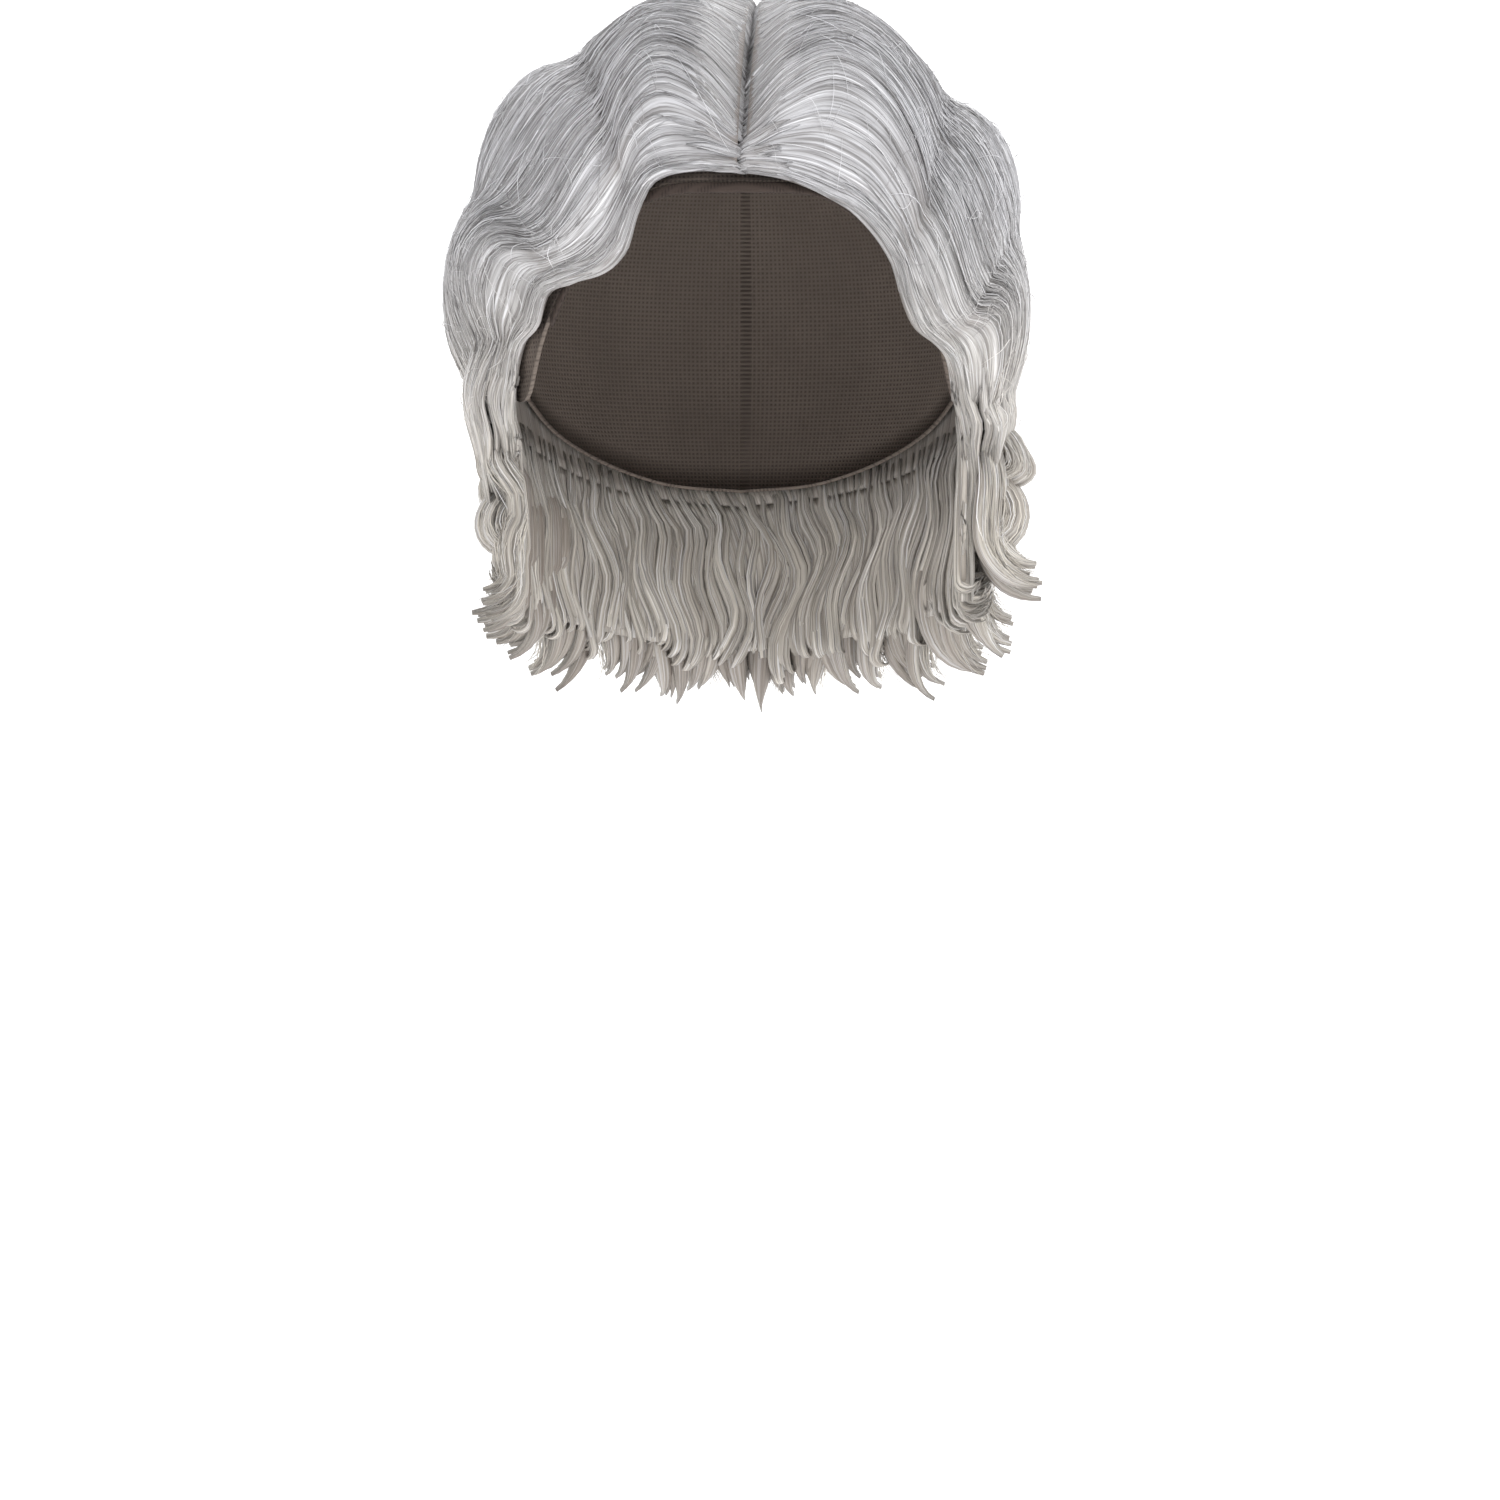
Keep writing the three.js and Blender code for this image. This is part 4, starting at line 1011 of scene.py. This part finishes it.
def edge_clumps(start, stop, rng, stations=14):
    """Clumps that carry a panel's hair on over its lower edge and into the locks."""
    count = int((stop - start) / 1.7)
    share = np.linspace(0, 1, stations)[None, :]
    root0 = mix(start + 2, stop - 2, (np.arange(count) + 0.5) / count)[:, None]
    root0 = root0 + rng.normal(0, 0.8, (count, 1))
    high = lower_edge(root0, 1)
    begin = high - rng.uniform(14, 34, (count, 1))
    distance = mix(begin, high + rng.uniform(12, 36, (count, 1)), share)
    wave = 1.8 * np.sin(2 * np.pi * distance / 34 + root0 * 0.04) + rng.normal(0, 1, (count, 1))
    root = np.clip(root0 + wave * share, start + 1, stop - 1)
    lift = -1.2 + 1.5 * np.sin(np.pi * share) * rng.uniform(0.7, 1.2, (count, 1))
    paths, normals = lifted_paths(root, distance, lift)
    return clump_arrays(paths, normals, rng.uniform(1.2, 2.4, (count, 1)),
                        rng.uniform(0.7, 1.1, (count, 1)), rng.uniform(0, 0.16, (count, 1)), rng,
                        6)


def lining_clumps(start, stop, rng, stations=18):
    """Clumps down the inner side of the lowest hair, sewn on along one line: they wave together,
    and their tips hook out on arcs below the backing."""
    count = int((stop - start) / 1.15)
    share = np.linspace(0, 1, stations)[None, :]
    root0 = mix(start, stop, (np.arange(count) + 0.5) / count)[:, None]
    root0 = root0 + rng.normal(0, 0.7, (count, 1))
    low = lower_edge(root0, 1) - 6 + rng.normal(0, 0.4, (count, 1))
    edge = lower_edge(root0, 2)
    group = 3 * np.sin(root0 * 0.5) + 2 * np.sin(root0 * 0.23 + 1)
    end = edge + group + rng.uniform(-4, 2, (count, 1))
    turned = np.radians(rng.uniform(120, 200, (count, 1))) * np.clip((share - 0.6) / 0.4, 0, 1)
    arc = rng.uniform(3, 5.2, (count, 1))
    distance = mix(low, end, np.minimum(share / 0.6, 1)) + arc * np.sin(turned)
    phase = 1.5 * np.sin(root0 * 0.12) + 0.9 * np.sin(root0 * 0.29) + rng.normal(0, 0.25, (count, 1))
    wave = 1.8 * np.sin(2 * np.pi * distance / 37 + phase) * ease((distance - low) / 18)
    wave = wave + rng.normal(0, 0.9, (count, 1)) * share
    root = np.clip(root0 + wave, start, stop)
    height = rng.uniform(-0.6, 0.2, (count, 1)) + arc * (1 - np.cos(turned))
    paths = hair_point(root, distance, height)
    _, normals = head_frame(*strand(root, distance))
    tangents = unit(np.gradient(paths, axis=1))
    side = unit(np.cross(tangents[:, :1], normals[:, :1]))
    facing = np.cross(side, tangents)
    return clump_arrays(paths, facing, rng.uniform(1.1, 2.4, (count, 1)),
                        rng.uniform(0.5, 0.9, (count, 1)), rng.uniform(0.05, 0.3, (count, 1)), rng,
                        6)


def part_clumps(is_right, rng, stations=10):
    """Clumps from the part over the panel's inner edge: they meet over its front and back ends and
    leave a narrow groove between."""
    count = 210
    share = np.linspace(0, 1, stations)[None, :]
    from_front = rng.uniform(-0.5, SIDE_RUN + 4, (count, 1))
    opened = ease((from_front - 4) / 12) * ease((66 - from_front) / 24)
    begin = mix(-2.6, -0.7, opened) + rng.normal(0, 0.3, (count, 1))
    distance = begin + rng.uniform(11, 24, (count, 1)) * share
    line = from_front if is_right else ROOT_RUN - from_front
    root = swept_root(line + rng.normal(0, 0.8, (count, 1)) * share, distance)
    depth = hair_depth(root, np.maximum(distance, 0))
    height = mix(1.2, depth, ease((distance - begin) / 5)) - 0.35 * ease(1 - np.abs(distance))
    paths = hair_point(root, distance, height)
    _, normals = head_frame(*strand(root, distance))
    return clump_arrays(paths, normals, rng.uniform(0.6, 1.2, (count, 1)),
                        rng.uniform(0.35, 0.6, (count, 1)), 0.25 * rng.uniform(0, 1, (count, 1)),
                        rng, 5)


def front_clumps(is_right, rng, stations=14):
    """Clumps along the hairline: over the panel's front edge, and over the backing's below it."""
    parts = []
    for count, low, high, reach, tall in (
        (150, 2, 1, (18, 52), None), (34, 0.9, 1.34, (26, 60), 4.2),
    ):
        share = np.linspace(0, 1, stations)[None, :]
        begin = PANEL_DROP * rng.uniform(low if low < 1 else 0, high, (count, 1))
        distance = begin + rng.uniform(*reach, (count, 1)) * (share - 0.5)
        distance = np.clip(distance, 2, PANEL_DROP * (1.37 if tall else 1.03))
        inward = np.abs(rng.normal(0, 1.3, (count, 1))) + rng.uniform(0, 1.5, (count, 1)) * share
        if tall:
            inward = inward + 2.2 * np.sin(2 * np.pi * distance / 30 + 1)
        root = inward if is_right else ROOT_RUN - inward
        level = rng.uniform(0.02, 0.98, (count, 1))
        top = hair_depth(root, distance) if tall is None else mix(
            hair_depth(root, distance), tall, ease((distance / PANEL_DROP - 0.93) / 0.12))
        paths = hair_point(root, distance, level * top + 0.15)
        _, normals = head_frame(*strand(root, distance))
        forward = unit(hair_point(np.clip(root + (-1 if is_right else 1), 0, ROOT_RUN), distance, 0)
                       - hair_point(root + (1 if is_right else -1), distance, 0) + 1e-6)
        facing = unit(mix(forward, normals, np.clip(level * 1.2 - 0.1, 0, 1)[..., None]))
        # Painted shade: clumps that lie deeper in the hair are darkened more.
        parts.append(clump_arrays(paths, facing, rng.uniform(0.7, 1.3, (count, 1)),
                                  rng.uniform(0.4, 0.7, (count, 1)),
                                  0.3 * (1 - level) ** 1.5, rng, 6))
    return joined(parts)


def flyaways(count, rng):
    """Stray hairs that cross the waves: short arcs between two roots, standing off the surface."""
    stations = 12
    share = np.linspace(0, 1, stations)[None, :]
    root0 = rng.uniform(4, ROOT_RUN - 4, (count, 1))
    far = lower_edge(root0, 1)
    begin = rng.uniform(0.06, 0.98, (count, 1)) * far
    distance = begin + rng.normal(6, 11, (count, 1)) * share
    bow = rng.normal(0, 4, (count, 1)) * np.sin(np.pi * share)
    root = np.clip(root0 + rng.normal(0, 11, (count, 1)) * (share - 0.5) + bow, 1, ROOT_RUN - 1)
    distance = np.clip(distance + 0.5 * bow, 3, far + 12)
    lift = 0.3 + rng.uniform(0.3, 3, (count, 1)) * np.sin(np.pi * share) ** 1.5
    paths, normals = lifted_paths(root, distance, lift)
    radius = rng.uniform(0.07, 0.11, (count, 1)) * taper(stations)
    return strand_arrays(paths, normals, radius, rng)


# Add-on


class WigSettings(bpy.types.PropertyGroup):
    """Sizes and colours that a user would change."""

    columns_per_mm: bpy.props.FloatProperty(
        name="Columns per millimetre", description="Fineness of the combed grooves across the hair",
        default=2.6, min=0.5, max=4)
    row_step: bpy.props.FloatProperty(
        name="Row step", description="Distance between rows of points along the hair",
        default=0.0028, min=0.001, max=0.01, unit="LENGTH")
    panel_strands: bpy.props.IntProperty(
        name="Strands a panel", description="Loose strands over each waved panel",
        default=1080, min=0, max=2400)
    lock_strand_count: bpy.props.IntProperty(
        name="Strands a lock", description="Strands over each curl and lock",
        default=78, min=0, max=300)
    clumps: bpy.props.IntProperty(
        name="Clumps a lock", description="Clumps of hair that make up each curl and lock",
        default=11, min=4, max=24)
    flyaway_count: bpy.props.IntProperty(
        name="Stray hairs", description="Thin hairs that cross the waves",
        default=620, min=0, max=1500)
    cool_grey: bpy.props.FloatVectorProperty(
        name="Cool grey", description="Colour of the hair on top", subtype="COLOR",
        default=(0.435, 0.435, 0.455), min=0, max=1)
    warm_grey: bpy.props.FloatVectorProperty(
        name="Warm grey", description="Colour of the lowest curls", subtype="COLOR",
        default=(0.47, 0.437, 0.387), min=0, max=1)
    # Colour of the painted shade where the hair sinks towards the cap.
    painted_shade_brown: bpy.props.FloatVectorProperty(
        name="Root brown", description="Colour of hair that sinks towards the cap",
        subtype="COLOR", default=(0.16, 0.13, 0.11), min=0, max=1)
    net_brown: bpy.props.FloatVectorProperty(
        name="Net brown", description="Colour of the cap net", subtype="COLOR",
        default=(0.16, 0.13, 0.11), min=0, max=1)
    band_brown: bpy.props.FloatVectorProperty(
        name="Band brown", description="Colour of the front edge tape", subtype="COLOR",
        default=(0.05, 0.036, 0.03), min=0, max=1)
    part_brown: bpy.props.FloatVectorProperty(
        name="Part brown", description="Colour of the cloth along the part", subtype="COLOR",
        default=(0.22, 0.16, 0.125), min=0, max=1)
    camera_distance: bpy.props.FloatProperty(
        name="Camera distance", description="Distance from the wig to the camera",
        default=2.4, min=0.5, max=10, unit="LENGTH")
    picture_height: bpy.props.FloatProperty(
        name="Picture height", description="Height that the picture takes in at the wig",
        default=0.465, min=0.1, max=3, unit="LENGTH")
    floor_drop: bpy.props.FloatProperty(
        name="Floor drop", description="How far the floor lies below the crown",
        default=0.4535, min=0.22, max=2, unit="LENGTH")


class WIG_OT_cap(bpy.types.Operator):
    """Cap net, front band and parting strip"""

    bl_idname = "wig.cap"
    bl_label = "Cap, band and part"

    def execute(self, context):
        materials = wig_materials(context.scene.wig_settings)
        rows, columns = 22, 140
        turn = (np.arange(columns) / columns * 2 - 1) * np.pi
        edge = np.radians(read_table(CAP_EDGE, 1, np.degrees(np.abs(turn))))
        down = edge[None, :] * (np.arange(rows) + 0.02)[:, None] / (rows - 1 + 0.02)
        x = np.sin(turn) * down * CROWN_RISE
        y = -np.cos(turn) * down * CROWN_RISE
        walls = [head_point(x, y, np.full_like(x, height)) for height in (CAP_WALL, 0)]
        outer, inner = (wall.reshape(-1, 3) for wall in walls)
        size = rows * columns
        points = np.concatenate([outer, inner])
        rim = np.arange(size - columns, size)
        crown = np.arange(columns)
        walls = [np.stack([ring, np.roll(ring, -1), np.roll(ring, -1) + size, ring + size], -1)
                 for ring in (rim, crown[::-1])]
        quads = np.concatenate([
            grid_quads(rows, columns, 0, True)[:, ::-1],
            grid_quads(rows, columns, size, True),
            *walls,
        ])
        quads, _ = outward(points, quads, [])
        flow = np.stack([
            np.broadcast_to(turn * HEAD_HALF_WIDTH, down.shape), down * CROWN_RISE,
            np.ones_like(down)], -1).reshape(-1, 3)
        net = make_mesh("cap_net", points, quads, np.empty((0, 3), int), materials["net"],
                        {"flow": np.concatenate([flow, flow])})
        finished(net, ["cap"])

        turn = np.linspace(-BAND_HALF_ANGLE, BAND_HALF_ANGLE, 90)
        edge = np.radians(read_table(CAP_EDGE, 1, np.degrees(np.abs(turn))))
        corners = [(0, BAND_WALL * 0.75), (0.12, BAND_WALL), (0.88, BAND_WALL),
                   (1, BAND_WALL * 0.75), (1, 0), (0, 0)]
        ring = np.stack([
            head_point(np.sin(turn) * reach, -np.cos(turn) * reach, np.full_like(turn, height))
            for drop, height in corners
            for reach in [edge * CROWN_RISE + SEAT_GAP + BAND_HEIGHT * drop]
        ], 1)
        points, quads, triangles = swept_rings(ring[None])
        band = make_mesh("front_edge_tape", points, quads, triangles, materials["band"],
                         {"flow": points * (1, 0.6, 1)})
        finished(band, ["front_band"])

        from_front = mix(1, SIDE_RUN, np.linspace(0, 1, 60))
        x, y = strand(from_front, np.zeros(60))
        low = CAP_WALL + SEAT_GAP
        half = PART_WIDTH / 2
        section = [(-half, low), (half, low), (half, low + 0.6 * STRIP_HEIGHT),
                   (0.3 * half, low + STRIP_HEIGHT), (-0.3 * half, low + STRIP_HEIGHT),
                   (-half, low + 0.6 * STRIP_HEIGHT)]
        ring = np.stack([head_point(x + aside, y, np.full(60, height))
                         for aside, height in section], 1)
        points, quads, triangles = swept_rings(ring[None])
        strip = make_mesh("part_cloth_strip", points, quads, triangles, materials["part"],
                          {"flow": points})
        finished(strip, ["parting_strip"])
        return {"FINISHED"}


class WIG_OT_wave_panels(bpy.types.Operator):
    """Three waved panels of combed hair"""

    bl_idname = "wig.wave_panels"
    bl_label = "Wave panels"

    def execute(self, context):
        settings = context.scene.wig_settings
        materials = wig_materials(settings)
        rows = int(PANEL_DROP * MM / settings.row_step)
        for name, node, start, stop, seed in PANELS:
            columns = int((stop - start) * settings.columns_per_mm)
            points, quads, triangles, fields = panel_arrays(start, stop, columns, rows, seed)
            piece = make_mesh(name, points, quads, triangles, materials["hair"], fields)
            finished(piece, [node])
        return {"FINISHED"}


PANELS = [
    ("combed_waves_right", "wave_panel_right", 0, RIGHT_SPLIT, 11),
    ("combed_waves_back", "wave_panel_back", RIGHT_SPLIT, LEFT_SPLIT, 23),
    ("combed_waves_left", "wave_panel_left", LEFT_SPLIT, ROOT_RUN, 37),
]

BACKINGS = {
    "side_locks_right": (0, RIGHT_SPLIT),
    "side_locks_left": (LEFT_SPLIT, ROOT_RUN),
    "nape_locks": (RIGHT_SPLIT, LEFT_SPLIT),
}


class WIG_OT_locks(bpy.types.Operator):
    """Ear curls, side locks and nape locks"""

    bl_idname = "wig.locks"
    bl_label = "Curls and locks"

    def execute(self, context):
        settings = context.scene.wig_settings
        materials = wig_materials(settings)
        for group, (node, locks) in enumerate(LOCKS.items()):
            rng = np.random.default_rng(60 + group)
            parts = [lock_arrays(lock, settings.clumps, rng) for lock in locks]
            if node in BACKINGS:
                start, stop = BACKINGS[node]
                parts.append(backing_arrays(start, stop, 170, 20, 50 + group))
            points, quads, triangles, fields = joined(parts)
            piece = make_mesh("combed_" + node, points, quads, triangles, materials["hair"],
                              fields)
            finished(piece, [node])
        return {"FINISHED"}


class WIG_OT_strands(bpy.types.Operator):
    """Loose strands over the panels and the locks"""

    bl_idname = "wig.strands"
    bl_label = "Loose strands"

    def execute(self, context):
        settings = context.scene.wig_settings
        materials = wig_materials(settings)
        rng = np.random.default_rng(5)
        for name, node, start, stop, _ in PANELS:
            count = int(settings.panel_strands * min((stop - start) / 110, 1))
            arrays = wave_strands(start, stop, count, rng)
            piece = make_mesh(name.replace("combed", "strands_over"), *arrays[:3],
                              materials["loose"], arrays[3])
            finished(piece, [])
            parts = [edge_clumps(start, stop, rng), lining_clumps(start, stop, rng)]
            if node != "wave_panel_back":
                is_right = node == "wave_panel_right"
                parts += [front_clumps(is_right, rng), part_clumps(is_right, rng)]
            arrays = joined(parts)
            piece = make_mesh(name.replace("combed_waves", "edge_clumps"), *arrays[:3],
                              materials["hair"], arrays[3])
            finished(piece, [])
        arrays = flyaways(settings.flyaway_count, rng)
        piece = make_mesh("stray_hairs", *arrays[:3], materials["stray"], arrays[3])
        finished(piece, [])
        for node, locks in LOCKS.items():
            parts = [lock_strands(lock, settings.lock_strand_count, rng) for lock in locks]
            points, quads, triangles, fields = joined(parts)
            piece = make_mesh("strands_over_" + node, points, quads, triangles,
                              materials["loose"], fields)
            finished(piece, [])
        return {"FINISHED"}


class WIG_OT_stage(bpy.types.Operator):
    """Pale floor and backdrop, soft lights and the camera"""

    bl_idname = "wig.stage"
    bl_label = "Studio"

    def execute(self, context):
        settings = context.scene.wig_settings
        scene = context.scene
        floor = -settings.floor_drop
        across = np.array([-6.0, 6.0])
        bend = np.linspace(0, np.pi / 2, 24)
        profile = np.concatenate([
            [(-5.0, 0.0)],
            np.stack([2.4 + 1.6 * np.sin(bend), 1.6 * (1 - np.cos(bend))], -1),
            [(4.0, 6.0)],
        ])
        points = np.array([(x, y, floor + z) for y, z in profile for x in across])
        quads = grid_quads(len(profile), 2)
        mesh = bpy.data.meshes.new("studio_sweep")
        mesh.from_pydata(points.tolist(), [], quads.tolist())
        mesh.polygons.foreach_set("use_smooth", np.ones(len(quads), bool))
        sweep = bpy.data.objects.new("studio_sweep", mesh)
        scene.collection.objects.link(sweep)
        material, _, shader = new_material("pale studio paper")
        shader.inputs["Base Color"].default_value = (0.9, 0.9, 0.905, 1)
        shader.inputs["Roughness"].default_value = 0.9
        shader.inputs["Emission Color"].default_value = (1, 1, 1, 1)
        shader.inputs["Emission Strength"].default_value = 0.45
        mesh.materials.append(material)

        world = bpy.data.worlds.new("studio_light")
        world.use_nodes = True
        world.node_tree.nodes["Background"].inputs[0].default_value = (1, 1, 1, 1)
        world.node_tree.nodes["Background"].inputs[1].default_value = 1.0
        scene.world = world
        for name, place, size, power in LIGHTS:
            light = bpy.data.lights.new(name, "AREA")
            light.shape = "SQUARE"
            light.size = size
            light.energy = power
            lamp = bpy.data.objects.new(name, light)
            scene.collection.objects.link(lamp)
            lamp.location = place
            aim = np.array((0, 0, -0.09)) - np.array(place)
            lamp.rotation_mode = "QUATERNION"
            lamp.rotation_quaternion = Vector(aim).to_track_quat("-Z", "Y")

        camera = bpy.data.cameras.new("photo_camera")
        camera.sensor_width = 36
        camera.lens = 36 * settings.camera_distance / settings.picture_height
        eye = bpy.data.objects.new("photo_camera", camera)
        scene.collection.objects.link(eye)
        eye.location = (0.0028, -settings.camera_distance, -0.2207)
        eye.rotation_euler = (np.pi / 2, 0, 0)
        scene.camera = eye
        scene.view_settings.view_transform = "Standard"
        return {"FINISHED"}


LIGHTS = [
    ("key_light", (0.95, -1.5, 1.0), 1.0, 21),
    ("fill_light", (-1.4, -1.3, 0.4), 1.2, 4),
    ("back_light", (0.3, 1.6, 1.3), 1.1, 9),
]


class WIG_PT_sidebar(bpy.types.Panel):
    """Sizes, colours and the steps that build the wig"""

    bl_idname = "WIG_PT_sidebar"
    bl_label = "Finger wave wig"
    bl_space_type = "VIEW_3D"
    bl_region_type = "UI"
    bl_category = "Wig"

    def draw(self, context):
        settings = context.scene.wig_settings
        for name in WigSettings.__annotations__:
            self.layout.prop(settings, name)
        for step in STEPS:
            self.layout.operator(step.bl_idname)


STEPS = (WIG_OT_cap, WIG_OT_wave_panels, WIG_OT_locks, WIG_OT_strands, WIG_OT_stage)


def register():
    """Adds the settings, the steps and the sidebar to Blender."""
    for item in (WigSettings, *STEPS, WIG_PT_sidebar):
        bpy.utils.register_class(item)
    bpy.types.Scene.wig_settings = bpy.props.PointerProperty(type=WigSettings)


def unregister():
    """Takes them out again."""
    del bpy.types.Scene.wig_settings
    for item in (WIG_PT_sidebar, *reversed(STEPS), WigSettings):
        bpy.utils.unregister_class(item)


def main():
    """Builds the wig around the frame."""
    register()
    bpy.ops.wig.cap()
    bpy.ops.wig.wave_panels()
    bpy.ops.wig.locks()
    bpy.ops.wig.strands()
    bpy.ops.wig.stage()


if __name__ == "__main__":
    main()
